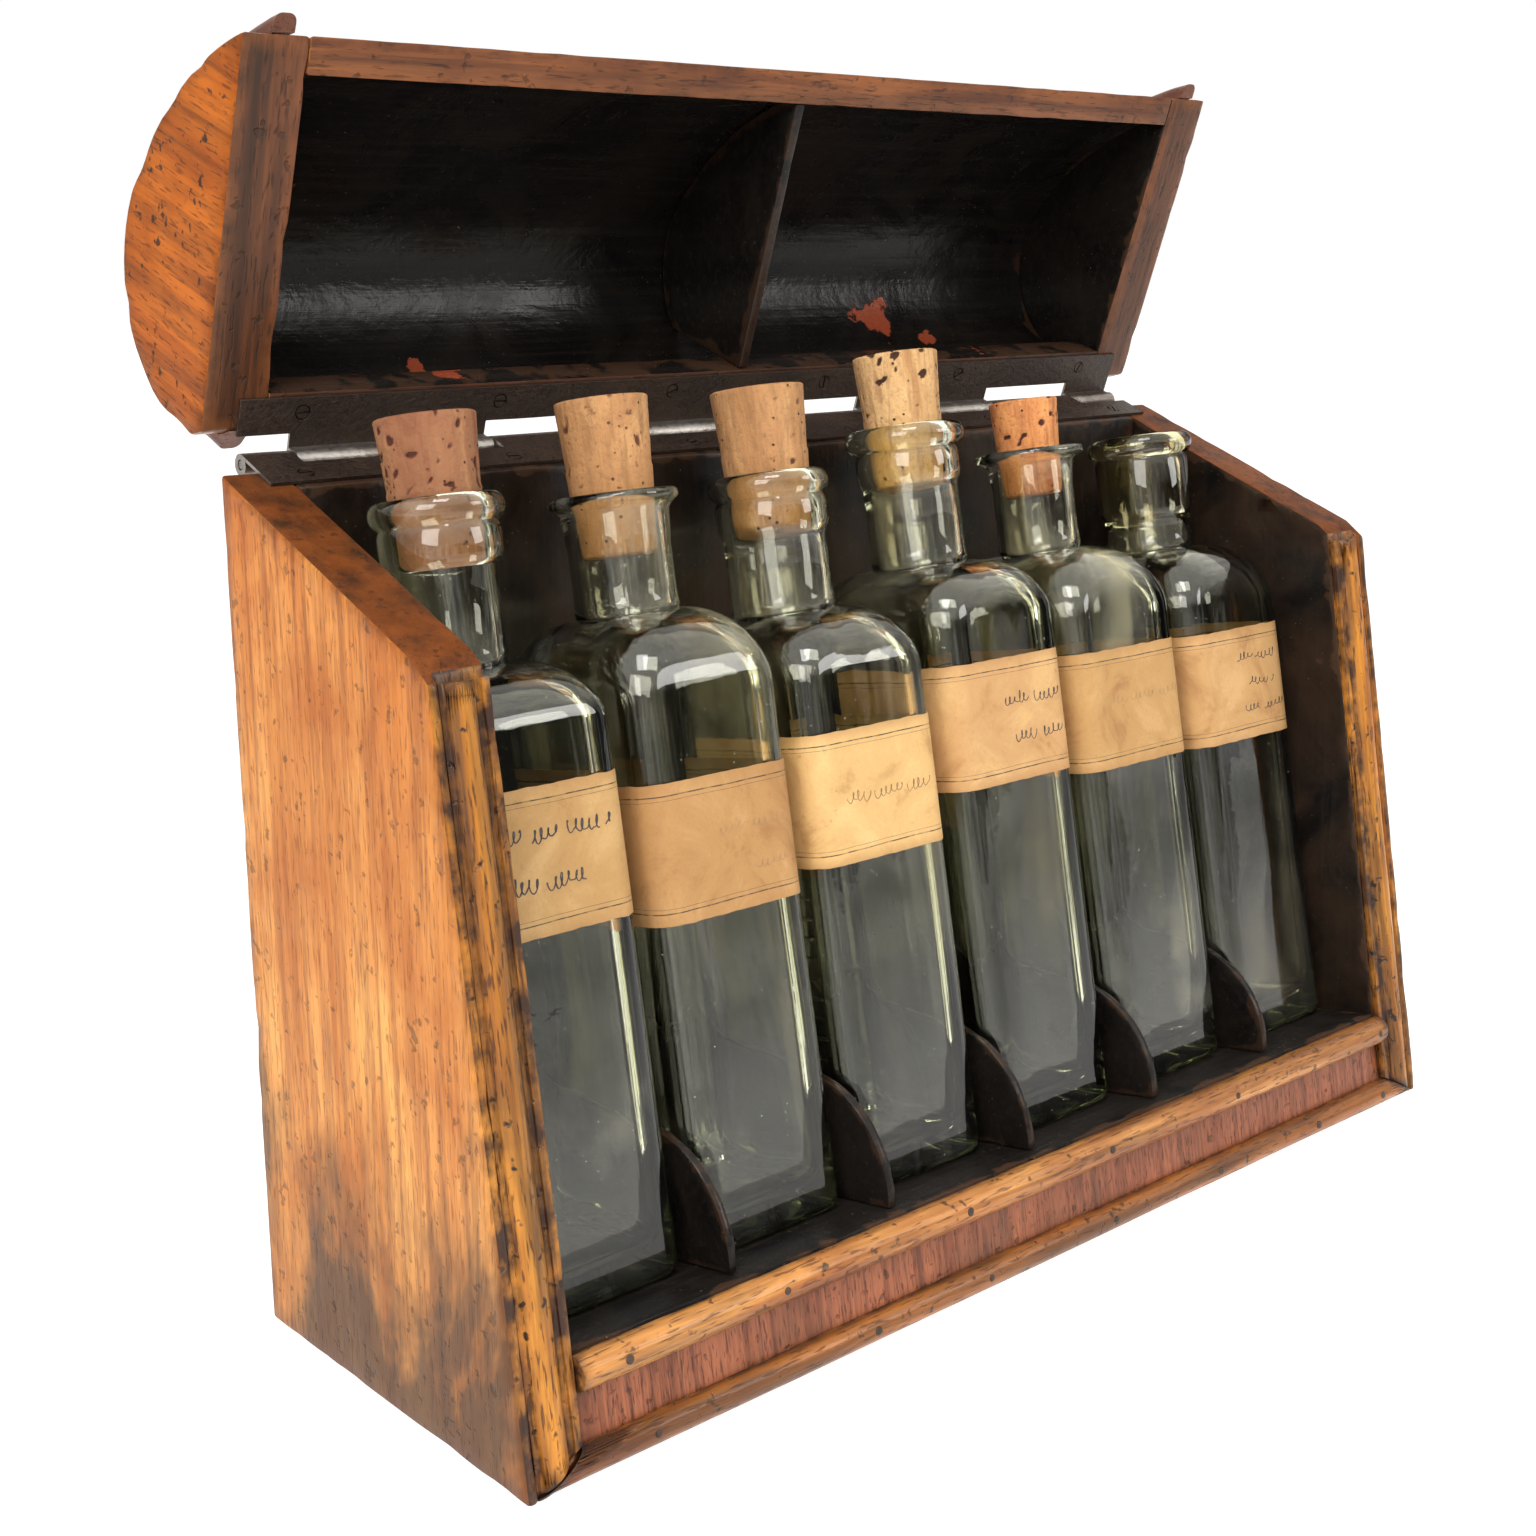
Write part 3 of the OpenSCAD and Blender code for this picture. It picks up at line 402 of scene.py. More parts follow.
nailIron = metalFinish("nailIron",
                       {"tone": (0.05, 0.035, 0.028), "second": (0.09, 0.06, 0.045), "dark": (0.015, 0.01, 0.008),
                                    "metal": 0.6, "rough": (0.4, 0.6), "depth": 0.0004})
print("wood, paint and metal finishes ready")

def finishMesh(name, made, finishes, sharp=38):
    for edge in made.edges:
        edge.smooth = len(edge.link_faces) == 2 and edge.calc_face_angle(0) < math.radians(sharp)
    for face in made.faces:
        face.smooth = True
    mesh = meshFrom(name, made)
    for finish in finishes:
        mesh.materials.append(finish)
    piece = addObject(name, mesh)
    return piece


def settle(piece, body, slot, *replaced):
    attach(piece, body)
    if replaced:
        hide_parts(*replaced)
    return piece


def shapeBoard(node, name, look, body, slot, finishes, choose=None):
    made = bmesh.new()
    made.from_mesh(nodes[node].data)
    bmesh.ops.remove_doubles(made, verts=made.verts, dist=3e-6)
    bmesh.ops.dissolve_limit(made, angle_limit=math.radians(1.0), verts=made.verts, edges=made.edges)
    hard = [e for e in made.edges if len(e.link_faces) == 2 and e.calc_face_angle(0) > math.radians(28)]
    marks = [e.verts[0].co.lerp(e.verts[1].co, k / n) for e in hard
             for n in [max(1, int(e.calc_length() / 0.0015))] for k in range(n + 1)]
    tree = KDTree(len(marks))
    for k, point in enumerate(marks):
        tree.insert(point, k)
    tree.balance()
    if look.get("bevelTest"):
        hard = [e for e in hard if look["bevelTest"](e)]
    bmesh.ops.bevel(made, geom=hard, offset=look["round"], offset_type="OFFSET", segments=look.get("steps", 2),
                    profile=0.5, affect="EDGES", clamp_overlap=True)
    low = Vector([min(v.co[k] for v in made.verts) for k in range(3)])
    high = Vector([max(v.co[k] for v in made.verts) for k in range(3)])
    for axis in range(3):
        step = look["grid"][axis]
        if not step:
            continue
        cuts = int((high[axis] - low[axis]) / step)
        for k in range(1, cuts + 1):
            point = Vector((0, 0, 0))
            point[axis] = low[axis] + (high[axis] - low[axis]) * k / (cuts + 1)
            normal = Vector([1.0 if j == axis else 0.0 for j in range(3)])
            bmesh.ops.bisect_plane(made, geom=made.verts[:] + made.edges[:] + made.faces[:], dist=1e-7,
                                   plane_co=point, plane_no=normal)
    made.normal_update()
    near = made.verts.layers.float.new("edge")
    rng = random.Random(look.get("seed", 3))
    shift = Vector([rng.uniform(0, 9) for k in range(3)])
    for vertex in made.verts:
        gap = tree.find(vertex.co)[2]
        vertex[near] = math.exp(-(gap / (look.get("wearWidth", 2.2) * mm)) ** 2)
        dent = max(0.0, noise.noise((vertex.co + shift) * look.get("dentScale", 140))) * look.get("dent", 0.45) * mm
        ripple = (noise.noise((vertex.co + shift) * 28) + 1) * look.get("ripple", 0.12) * mm
        vertex.co -= vertex.normal * (dent * vertex[near] + ripple * 0.5)
        vertex.co.z = max(vertex.co.z, 0.0)
    if choose:
        for face in made.faces:
            face.material_index = choose(face.normal, face.calc_center_median())
    piece = finishMesh(name, made, finishes)
    return settle(piece, body, slot, node)


lidNormal = Vector((0, -math.cos(math.radians(20.2)),
                    -math.sin(math.radians(20.2))))  # the way the open lid's rim faces
innerX = 0.136


def sideFaces(out):
    def choose(normal, centre):
        if normal.x * out > 0.7:
            return 0  # outer face
        if normal.x * out < -0.7 and abs(centre.x) < innerX + 0.0015:
            return 2  # inside, painted
        if normal.z > 0.5 and centre.z > 0.12:
            return 1  # the slanted top
        if normal.y < -0.5:
            return 3
        return 4 if normal.y > 0.7 else 0
    return choose


boardLook = {"round": 0.0009, "grid": (0.0, 0.004, 0.004), "dent": 0.55, "seed": 4}
for node, out in (("left_side", -1), ("right_side", 1)):
    shapeBoard(node, node.replace("_side", "SideBoard"), {**boardLook, "seed": 4 + out}, "case", "side_wood",
               [sideWood, slantWood, casePaint, mouldWood, backWood], sideFaces(out))


def endFaces(out):
    def choose(normal, centre):
        if normal.x * out > 0.7:
            return 0
        if normal.x * out < -0.7:
            return 2
        if normal.dot(lidNormal) > 0.7:
            return 1
        return 3
    return choose


for node, out in (("lid_left_end", -1), ("lid_right_end", 1)):
    shapeBoard(node, "lidLeftEnd" if out < 0 else "lidRightEnd",
               {**boardLook, "grid": (0.005, 0.004, 0.004), "seed": 9 + out, "dent": 0.8}, "lid", "end_wood",
               [endWood, rimEndWood, lidPaint, shellWood], endFaces(out))


def railFaces(normal, centre):
    return 0 if normal.dot(lidNormal) > 0.6 else 2 if normal.dot(lidNormal) > -0.6 and normal.z * (1 if centre.z < 0.24
        else -1) > 0.4 else 1


railLook = {"round": 0.0005, "grid": (0.006, 0, 0.004), "dent": 0.35}
for node, name, face in (("lid_front_rail", "lidTopRail", rimWood), ("lid_back_rail", "lidHingeRail", hingeRimWood)):
    shapeBoard(node, name, {**railLook, "seed": 15}, "lid", "dark_wood", [face, shellWood, lidPaint], railFaces)


def shellFaces(normal, centre):
    middle = Vector((centre.x, 0.056, 0.2355))  # a point inside the hollow of the lid
    return 0 if (centre - middle).dot(normal) < 0 else 1


shapeBoard("lid_shell", "lidShell", {"round": 0.0002, "steps": 1, "grid": (0.006, 0, 0), "dent": 0, "ripple": 0.25},
           "lid", "shell_wood", [lidPaint, shellWood], shellFaces)
shapeBoard("lid_divider", "lidDivider", {"round": 0.0006, "grid": (0, 0.005, 0.005), "dent": 0.3}, "lid",
           "black_paint", [dividerPaint])


def hoopEdge(edge):
    normals = [f.normal for f in edge.link_faces]
    side = [n for n in normals if abs(n.x) > 0.7]
    outer = [n for n in normals if abs(n.x) < 0.3 and n.y + 0.4 * n.z > -0.2
             and (edge.verts[0].co.yz - Vector((0.052, 0.2355))).dot(n.yz) > 0]
    return bool(side and outer)


for node, name in (("lid_left_hoop", "lidLeftHoop"), ("lid_right_hoop", "lidRightHoop")):
    shapeBoard(node, name, {"round": 0.0017, "steps": 4, "grid": (0, 0.003, 0.003), "dent": 0.5, "ripple": 0.2,
                            "bevelTest": hoopEdge}, "lid", "dark_wood", [hoopPaint])

for node, name, slot, finish, grid in (("upper_bead", "upperBead", "moulding_wood", beadWood, (0.003, 0, 0)),
                                       ("lower_bead", "lowerBead", "moulding_wood", lowBeadWood, (0.003, 0, 0)),
                                       ("left_bead", "leftBead", "moulding_wood", mouldWood, (0, 0, 0.003)),
                                       ("right_bead", "rightBead", "moulding_wood", mouldWood, (0, 0, 0.003)),
                                       ("front_rail", "frontRail", "veneer", veneerWood, (0.005, 0, 0.004))):
    shapeBoard(node, name, {"round": 0.0003, "grid": grid, "dent": 0.5, "ripple": 0.3, "dentScale": 110,
                            "wearWidth": 1.3}, "case", slot, [finish])


def backFaces(normal, centre):
    return 1 if normal.y < -0.7 or normal.z > 0.7 else 0


shapeBoard("back_panel", "backBoard", {"round": 0.0006, "grid": (0.006, 0, 0.006)}, "case", "dark_wood",
           [backWood, casePaint], backFaces)
shapeBoard("base_board", "baseBoard", {"round": 0.0005, "grid": (0.01, 0.01, 0)}, "case", "dark_wood", [backWood])
shapeBoard("floor_board", "floorBoard", {"round": 0.0003, "grid": (0.006, 0.005, 0), "ripple": 0.3}, "case",
           "black_paint", [floorPaint])
for k in range(1, 6):
    shapeBoard(f"divider_{k}", f"bayDivider{k}", {"round": 0.0007, "grid": (0, 0.004, 0.004), "dent": 0.5, "seed": k},
               "case",
               "black_paint", [dividerPaint])
print("woodwork shaped")

def hingeFaces(normal, centre):
    return 1 if math.hypot(centre.y - hingeLine[0], centre.z - hingeLine[1]) < 0.0029 else 0


for node, name, body in (("hinge_case_leaf", "caseLeaf", "case"), ("hinge_lid_leaf", "lidLeaf", "lid")):
    shapeBoard(node, name, {"round": 0.00015, "steps": 1, "grid": (0.006, 0, 0), "dent": 0.15, "ripple": 0.05}, body,
               "iron",
               [leafIron, barrelSteel], hingeFaces)
shapeBoard("hinge_pin", "hingePin", {"round": 0.0002, "steps": 1, "grid": (0, 0, 0), "dent": 0, "ripple": 0}, "case",
           "steel", [barrelSteel])


# copies of one small shape on many points, for nails, screws and measuring lines
def copiesTree():
    tree = bpy.data.node_groups.new("placeCopies", "GeometryNodeTree")
    face = tree.interface
    for name, kind in (("Geometry", "Geometry"), ("Shape", "Object"), ("Way", "Vector"), ("Size", "Float"),
                       ("Size change", "Float"), ("Turn change", "Float"), ("Seed", "Int"), ("Finish", "Material")):
        face.new_socket(name, in_out="INPUT", socket_type=f"NodeSocket{kind}")
    face.new_socket("Geometry", in_out="OUTPUT", socket_type="NodeSocketGeometry")
    given = tree.nodes.new("NodeGroupInput").outputs
    end = tree.nodes.new("NodeGroupOutput")
    shape = addNode(tree, "GeometryNodeObjectInfo", {"Object": given["Shape"], "As Instance": True})
    aim = addNode(tree, "FunctionNodeAlignEulerToVector", {"Vector": given["Way"]}, axis="Z")
    spin = addNode(tree, "FunctionNodeRandomValue", {"Seed": given["Seed"]}, data_type="FLOAT")
    low = addNode(tree, "ShaderNodeMath", {0: given["Turn change"], 1: -1.0}, operation="MULTIPLY").outputs[0]
    setSockets(tree, spin, {2: low, 3: given["Turn change"]})
    twist = addNode(tree, "ShaderNodeCombineXYZ", {"Z": spin.outputs[1]}).outputs[0]
    turned = addNode(tree, "FunctionNodeRotateEuler", {"Rotation": aim.outputs[0], "Rotate By": twist}, space="LOCAL")
    grow = addNode(tree, "FunctionNodeRandomValue", {"Seed": given["Seed"]}, data_type="FLOAT")
    small = addNode(tree, "ShaderNodeMath", {0: given["Size"], 1: given["Size change"]}, operation="SUBTRACT")
    setSockets(tree, grow, {2: small.outputs[0], 3: given["Size"]})
    put = addNode(tree, "GeometryNodeInstanceOnPoints", {
        "Points": given["Geometry"], "Instance": shape.outputs["Geometry"],
        "Rotation": turned.outputs[0], "Scale": grow.outputs[1]})
    real = addNode(tree, "GeometryNodeRealizeInstances", {"Geometry": put.outputs[0]})
    dress = addNode(tree, "GeometryNodeSetMaterial", {"Geometry": real.outputs[0], "Material": given["Finish"]})
    tree.links.new(dress.outputs[0], end.inputs["Geometry"])
    return tree


copies = copiesTree()


def runTree(tree, base, name, settings):
    change = base.modifiers.new("make", "NODES")
    change.node_group = tree
    for item in tree.interface.items_tree:
        if item.item_type == "SOCKET" and item.in_out == "INPUT" and item.name in settings:
            change[item.identifier] = settings[item.name]
    mesh = bakedMesh(base)
    mesh.name = name
    base.modifiers.clear()
    piece = addObject(name, mesh)
    bpy.data.objects.remove(base)
    return piece


def pointObject(name, points):
    mesh = bpy.data.meshes.new(name)
    mesh.from_pydata([tuple(p) for p in points], [], [])
    return addObject(name, mesh)


def islandCentres(node):
    made = bmesh.new()
    made.from_mesh(nodes[node].data)
    bmesh.ops.remove_doubles(made, verts=made.verts, dist=3e-6)
    left, found = dict.fromkeys(made.verts), []  # a dict keeps the mesh's own order, so each run draws alike
    while left:
        stack, part = [next(iter(left))], []
        del left[stack[0]]
        while stack:
            vertex = stack.pop()
            part.append(vertex.co.copy())
            for edge in vertex.link_edges:
                other = edge.other_vert(vertex)
                if other in left:
                    del left[other]
                    stack.append(other)
        found.append(sum(part, Vector()) / len(part))
    made.free()
    return found


def domedHead(name, radius, height, foot):
    made = bmesh.new()
    rings, around = 5, 20
    turns = [2 * math.pi * k / around for k in range(around)]
    levels = [(radius, -foot)]
    for j in range(rings):
        tilt = math.radians(84 * j / (rings - 1))
        levels.append((radius * math.cos(tilt), height * math.sin(tilt)))
    rows = [[made.verts.new((r * math.cos(t), r * math.sin(t), z)) for t in turns] for r, z in levels]
    for a, b in zip(rows, rows[1:]):
        for k in range(around):
            made.faces.new((a[k], a[(k + 1) % around], b[(k + 1) % around], b[k]))
    made.faces.new(rows[-1])
    made.faces.new(list(reversed(rows[0])))
    bmesh.ops.recalc_face_normals(made, faces=made.faces)
    return addObject(name, meshFrom(name, made))


nailLook = {"radius": 0.00095, "height": 0.0003, "foot": 0.0006, "sunk": 0.0002, "rake": 8.39, "seed": 12}
nailRake = math.radians(nailLook["rake"])
nailWay = (0, -math.cos(nailRake), math.sin(nailRake))
nailHead = domedHead("nailHead", nailLook["radius"], nailLook["height"], nailLook["foot"])
spots = [p - Vector(nailWay) * nailLook["sunk"] for p in islandCentres("bead_nails")]
nails = runTree(copies, pointObject("nailSpots", spots), "mouldingNails",
                {"Shape": nailHead, "Way": nailWay, "Size": 1.05, "Size change": 0.25, "Turn change": 3.0,
                 "Seed": nailLook["seed"], "Finish": nailIron})
settle(nails, "case", "iron", "bead_nails")
bpy.data.objects.remove(nailHead)
print("nails placed:", len(spots))


def slotHead(name, radius, depth, width):
    made = bmesh.new()
    bmesh.ops.create_cone(made, cap_ends=True, segments=28, radius1=radius, radius2=radius * 0.93, depth=depth)
    for v in made.verts:
        v.co.z -= depth / 2
    for y in (-width, width):
        bmesh.ops.bisect_plane(made, geom=made.verts[:] + made.edges[:] + made.faces[:], plane_co=(0, y, 0),
                               plane_no=(0, 1, 0))
    top = [f for f in made.faces if f.normal.z > 0.9 and abs(f.calc_center_median().y) < width * 0.9]
    pushed = bmesh.ops.extrude_discrete_faces(made, faces=top)["faces"]
    for v in {v for f in pushed for v in f.verts}:
        v.co.z -= depth * 0.55
    return addObject(name, meshFrom(name, made))


rimWay = tuple(lidNormal)
topSlope = math.radians(22.6)
caseTop = (0, -math.sin(topSlope), math.cos(topSlope))
screwLook = {"radius": 0.00165, "depth": 0.0008, "slot": 0.00028, "proud": 0.0004, "seed": 5}
for node, name, body, way in (("lid_screws", "lidScrews", "lid", rimWay),
                              ("case_screws", "caseScrews", "case", caseTop)):
    head = slotHead("screwHead", screwLook["radius"], screwLook["depth"], screwLook["slot"])
    spots = [p + Vector(way) * screwLook["proud"] for p in islandCentres(node)]
    screws = runTree(copies, pointObject("screwSpots", spots), name,
                     {"Shape": head, "Way": way, "Size": 1.0, "Size change": 0.02, "Turn change": 3.1,
                      "Seed": screwLook["seed"], "Finish": leafIron})
    settle(screws, body, "steel", node)
    bpy.data.objects.remove(head)
print("hinge and screws ready")


def glassFinish(name, look):
    finish, tree, shader = startFinish(name)
    down = objectPoint(tree, (1, 1, 0.14), (lean, 0, 0), look["shift"])
    plain = objectPoint(tree, place=look["shift"])
    film = grainNoise(tree, down, 34, 4, 0.6, 1.0)
    cloud = grainNoise(tree, plain, 15, 4, 0.6, 0.5)
    haze = times(tree, ramp(tree, film, [(0.48, 0.0), (0.62, 1.0)]), ramp(tree, cloud, [(0.44, 0.03), (0.58, 1.0)]))
    dust = ramp(tree, addNode(tree, "ShaderNodeTexVoronoi", {"Vector": plain, "Scale": 430.0}).outputs["Distance"],
                [(0.045, 1.0), (0.09, 0.0)])
    some = ramp(tree, grainNoise(tree, plain, 130, 2), [(0.48, 0.0), (0.56, 1.0)])
    speck = times(tree, dust, some)
    tone = blendTones(tree, haze, look["tone"], (0.95, 0.87, 0.58))
    if look.get("stain"):  # brown crust inside a neck that held tincture
        height = addNode(tree, "ShaderNodeSeparateXYZ", {0: objectPoint(tree)}).outputs["Z"]
        neck = spread(tree, height, look["stain"][0], look["stain"][1])
        crust = times(tree, neck, ramp(tree, cloud, [(0.3, 0.25), (0.7, 1.0)]))
        tone = blendTones(tree, crust, tone, look["stainTone"])
    clear = calc(tree, "SUBTRACT", 1.0, calc(tree, "ADD", times(tree, haze, look["haze"]),
                                             times(tree, speck, 0.35)), clamp=True)
    rough = spread(tree, calc(tree, "ADD", haze, speck), 0.0, 1.2, 0.0, 0.22)
    setSockets(tree, shader, {"Base Color": tone, "Transmission Weight": clear, "Roughness": rough, "IOR": 1.5})
    heights(tree, shader, [(grainNoise(tree, down, 45, 2), 0.0011), (grainNoise(tree, plain, 300, 2), 0.00003),
                           (speck, 0.0001)], 0.55)
    thick = addNode(tree, "ShaderNodeVolumeAbsorption", {"Color": (*look["deep"], 1), "Density": 26.0})
    tree.links.new(thick.outputs[0], tree.nodes["Material Output"].inputs["Volume"])
    return finish


def corkFinish(name, look):
    finish, tree, shader = startFinish(name)
    plain = objectPoint(tree, place=look["shift"])
    up = objectPoint(tree, (1, 1, 0.35), (lean, 0, 0), look["shift"])
    cells = grainNoise(tree, plain, 900, 3, 0.6)
    cloud = grainNoise(tree, up, 110, 4, 0.6, 0.8)
    band = grainNoise(tree, objectPoint(tree, (1, 1, 0.12), (lean, 0, 0), look["shift"]), 420, 4, 0.6, 0.5)
    tone = ramp(tree, cloud, [(0.3, look["tones"][0]), (0.5, look["tones"][1]), (0.7, look["tones"][2])], True)
    tone = blendTones(tree, times(tree, ramp(tree, band, [(0.34, 1.0), (0.5, 0.0)]), 0.6), tone, look["deep"])
    tone = blendTones(tree, times(tree, ramp(tree, cells, [(0.34, 1.0), (0.48, 0.0)]), 0.4), tone, look["deep"])
    pit = addNode(tree, "ShaderNodeAttribute", attribute_name="pit").outputs["Fac"]
    tone = blendTones(tree, ramp(tree, pit, [(0.12, 0.0), (0.4, 1.0)]), tone, look["pit"])
    small = ramp(tree, addNode(tree, "ShaderNodeTexVoronoi", {"Vector": plain, "Scale": 520.0}).outputs["Distance"],
                 [(0.14, 1.0), (0.22, 0.0)])
    few = ramp(tree, grainNoise(tree, plain, 190, 2), [(0.52, 0.0), (0.58, 1.0)])
    fleck = times(tree, small, few)
    tone = blendTones(tree, fleck, tone, look["pit"])
    setSockets(tree, shader, {"Base Color": tone, "Roughness": spread(tree, cells, 0.3, 0.7, 0.75, 0.92),
                              "Specular IOR Level": 0.3})
    heights(tree, shader, [(cells, 0.0004), (band, 0.0005), (times(tree, fleck, -1), 0.0005)], 0.8)
    return finish


def paperFinish(name, look):
    finish, tree, shader = startFinish(name)
    sheet = addNode(tree, "ShaderNodeUVMap", uv_map="sheet").outputs["UV"]
    plain = objectPoint(tree)
    along = addNode(tree, "ShaderNodeSeparateXYZ", {0: sheet})
    wobble = times(tree, calc(tree, "SUBTRACT", grainNoise(tree, sheet, 60, 2), 0.5), 0.0007)
    rise = calc(tree, "ADD", along.outputs["Y"], wobble)
    fibre = grainNoise(tree, plain, 1600, 3, 0.6)
    cloud = grainNoise(tree, plain, 60, 5, 0.65, 0.6)
    foxed = grainNoise(tree, plain, 330, 3, 0.6)
    tone = ramp(tree, cloud, [(0.34, look["tones"][0]), (0.52, look["tones"][1]), (0.7, look["tones"][2])], True)
    tone = blendTones(tree, times(tree, ramp(tree, fibre, [(0.34, 1.0), (0.5, 0.0)]), 0.18), tone, look["tones"][2])
    tone = blendTones(tree, times(tree, ramp(tree, foxed, [(0.66, 0.0), (0.74, 1.0)]), 0.4), tone, (0.3, 0.14, 0.05))
    fromEdge = calc(tree, "MINIMUM", rise, calc(tree, "SUBTRACT", look["high"], rise))
    tone = blendTones(tree, spread(tree, fromEdge, 0.0, 0.0022, 0.5, 0.0), tone, (0.36, 0.19, 0.08))
    for place, width, share in look["rules"]:
        line = calc(tree, "COMPARE", fromEdge, place, width)
        broken = times(tree, line, spread(tree, grainNoise(tree, plain, 420, 2), 0.3, 0.55, 0.35, share))
        tone = blendTones(tree, broken, tone, (0.045, 0.035, 0.03))
    setSockets(tree, shader, {"Base Color": tone, "Roughness": spread(tree, cloud, 0.3, 0.7, 0.62, 0.85),
                              "Specular IOR Level": 0.25})
    heights(tree, shader, [(fibre, 0.00006), (cloud, 0.0008)], 0.6)
    return finish


def inkFinish(name, tone, shift):
    finish, tree, shader = startFinish(name)
    patch = grainNoise(tree, objectPoint(tree, place=shift), 500, 3)
    setSockets(tree, shader, {"Base Color": ramp(tree, patch, [(0.36, tone[0]), (0.66, tone[1])]),
                              "Roughness": spread(tree, patch, 0.3, 0.7, 0.5, 0.75)})
    heights(tree, shader, [(patch, 0.00005)], 0.4)
    return finish


paleGlass = {"tone": (0.955, 0.955, 0.86), "deep": (0.74, 0.82, 0.5)}
glassHaze = [0.14, 0.11, 0.07, 0.025, 0.1, 0.025]  # one for each bottle
paper = [(0.53, 0.33, 0.14), (0.45, 0.265, 0.105), (0.33, 0.175, 0.062)]
darkInk, brownInk, faintInk = [(0.02, 0.017, 0.022), (0.06, 0.05, 0.05)], [(0.16, 0.09, 0.05),
                                                                           (0.26, 0.15, 0.08)], [(0.3, 0.17, 0.08),
                                                                               (0.4, 0.23, 0.1)]
pinkCork = [(0.4, 0.2, 0.085), (0.29, 0.125, 0.06), (0.2, 0.07, 0.035)]
tanCork = [(0.52, 0.28, 0.12), (0.43, 0.215, 0.09), (0.3, 0.135, 0.05)]

# lengths in millimetres; kind 0 is a bead over a collar, kind 1 a flare
bottleRows = [
    {"neck": 36, "shoulder": 13, "kind": 0, "lip": 14.5, "collar": 14, "bore": 10.2, "slim": 1.2, "label": 76,
     "ink": darkInk,
     "lines": [(-15, 15, 20.5, 3.6), (-12, 9, 10.5, 3.8)], "pen": 0.42, "rough": 1},
    {"neck": 27, "shoulder": 17, "kind": 1, "lip": 14.7, "collar": 12, "bore": 9.7, "label": 71, "ink": faintInk,
     "lines": [(-4, 15, 18, 2.8), (6, 17, 9, 2.6)], "pen": 0.2, "rough": 2},
    {"neck": 33, "shoulder": 15, "kind": 0, "lip": 14.5, "collar": 14, "bore": 10.4, "label": 74.5, "ink": brownInk,
     "lines": [(-11, 15, 14.5, 3.2)], "pen": 0.22, "rough": 3},
    {"neck": 35, "shoulder": 14, "kind": 0, "lip": 15.0, "collar": 14, "bore": 10.0, "label": 84, "ink": darkInk,
     "lines": [(-4, 17, 19.5, 3.0), (-1, 18, 10.5, 3.0)], "pen": 0.3, "rough": 4},
    {"neck": 27, "shoulder": 17, "kind": 1, "lip": 14.4, "collar": 10, "bore": 8.7, "label": 81, "ink": faintInk,
     "lines": [(-10, 16, 17, 2.8)], "pen": 0.2, "rough": 5},
    {"neck": 32, "shoulder": 16, "kind": 0, "lip": 14.4, "collar": 22, "bore": 9.8, "label": 80, "ink": darkInk,
     "lines": [(-2, 16, 22, 2.6), (2, 13, 15, 2.4), (-1, 16, 8, 2.6)], "pen": 0.3, "rough": 6}]
corkRows = [
    {"tones": pinkCork, "deep": (0.26, 0.12, 0.06), "pit": (0.07, 0.02, 0.012), "pits": 1.0, "out": 17, "in": 15},
    {"tones": tanCork, "deep": (0.24, 0.12, 0.05), "pit": (0.1, 0.035, 0.016), "pits": 0.35, "out": 21, "in": 14},
    {"tones": tanCork, "deep": (0.24, 0.13, 0.06), "pit": (0.09, 0.035, 0.018), "pits": 0.3, "out": 20, "in": 13},
    {"tones": [(0.68, 0.43, 0.2), (0.6, 0.36, 0.16), (0.42, 0.22, 0.09)], "deep": (0.3, 0.15, 0.07),
     "pit": (0.05, 0.02, 0.012),
     "pits": 0.8, "out": 18, "in": 14},
    {"tones": [(0.72, 0.33, 0.12), (0.62, 0.26, 0.09), (0.46, 0.15, 0.05)], "deep": (0.28, 0.08, 0.03),
     "pit": (0.06, 0.015, 0.01),
     "pits": 0.7, "out": 13, "in": 12}]


def uprightPlace(node):  # where a leaning bottle stands, and its upright size
    undo = Matrix.Rotation(math.radians(lean), 3, "X")
    points = [undo @ v.co for v in nodes[node].data.vertices]
    low = Vector([min(p[k] for p in points) for k in range(3)])
    high = Vector([max(p[k] for p in points) for k in range(3)])
    foot = Vector(((low.x + high.x) / 2, (low.y + high.y) / 2, low.z))
    return Matrix.Rotation(math.radians(-lean), 4, "X") @ Matrix.Translation(foot), high - low


def roundedRay(angle, a, b, c):  # a point of a round-cornered rectangle in one direction
    x, y = abs(math.cos(angle)), abs(math.sin(angle))
    t = min(a / max(x, 1e-9), b / max(y, 1e-9))
    if t * x > a - c and t * y > b - c:
        u, v = a - c, b - c
        along = u * x + v * y
        t = along + math.sqrt(max(along * along - (u * u + v * v - c * c), 0))
    return t * math.cos(angle), t * math.sin(angle)


def ringAngles(a, b, c):
    points = []
    for sx, sy in ((1, 1), (-1, 1), (-1, -1), (1, -1)):
        quarter = [(a, (b - c) * f) for f in (0.0, 0.3, 0.6, 0.85)]
        quarter += [(a - c + c * math.cos(t), b - c + c * math.sin(t))
                    for t in [math.radians(9 * k) for k in range(11)]]
        quarter += [((a - c) * f, b) for f in (0.85, 0.6, 0.3)]
        quarter = [math.atan2(q[1], q[0]) for q in quarter]
        base = {(1, 1): 0, (-1, 1): 1, (-1, -1): 2, (1, -1): 3}[(sx, sy)]
        if base in (0, 2):
            points += [q + base * math.pi / 2 for q in quarter]
        else:
            points += [base * math.pi / 2 + math.pi / 2 - q for q in [math.pi / 2] + list(reversed(quarter))[:-1]]
    return points


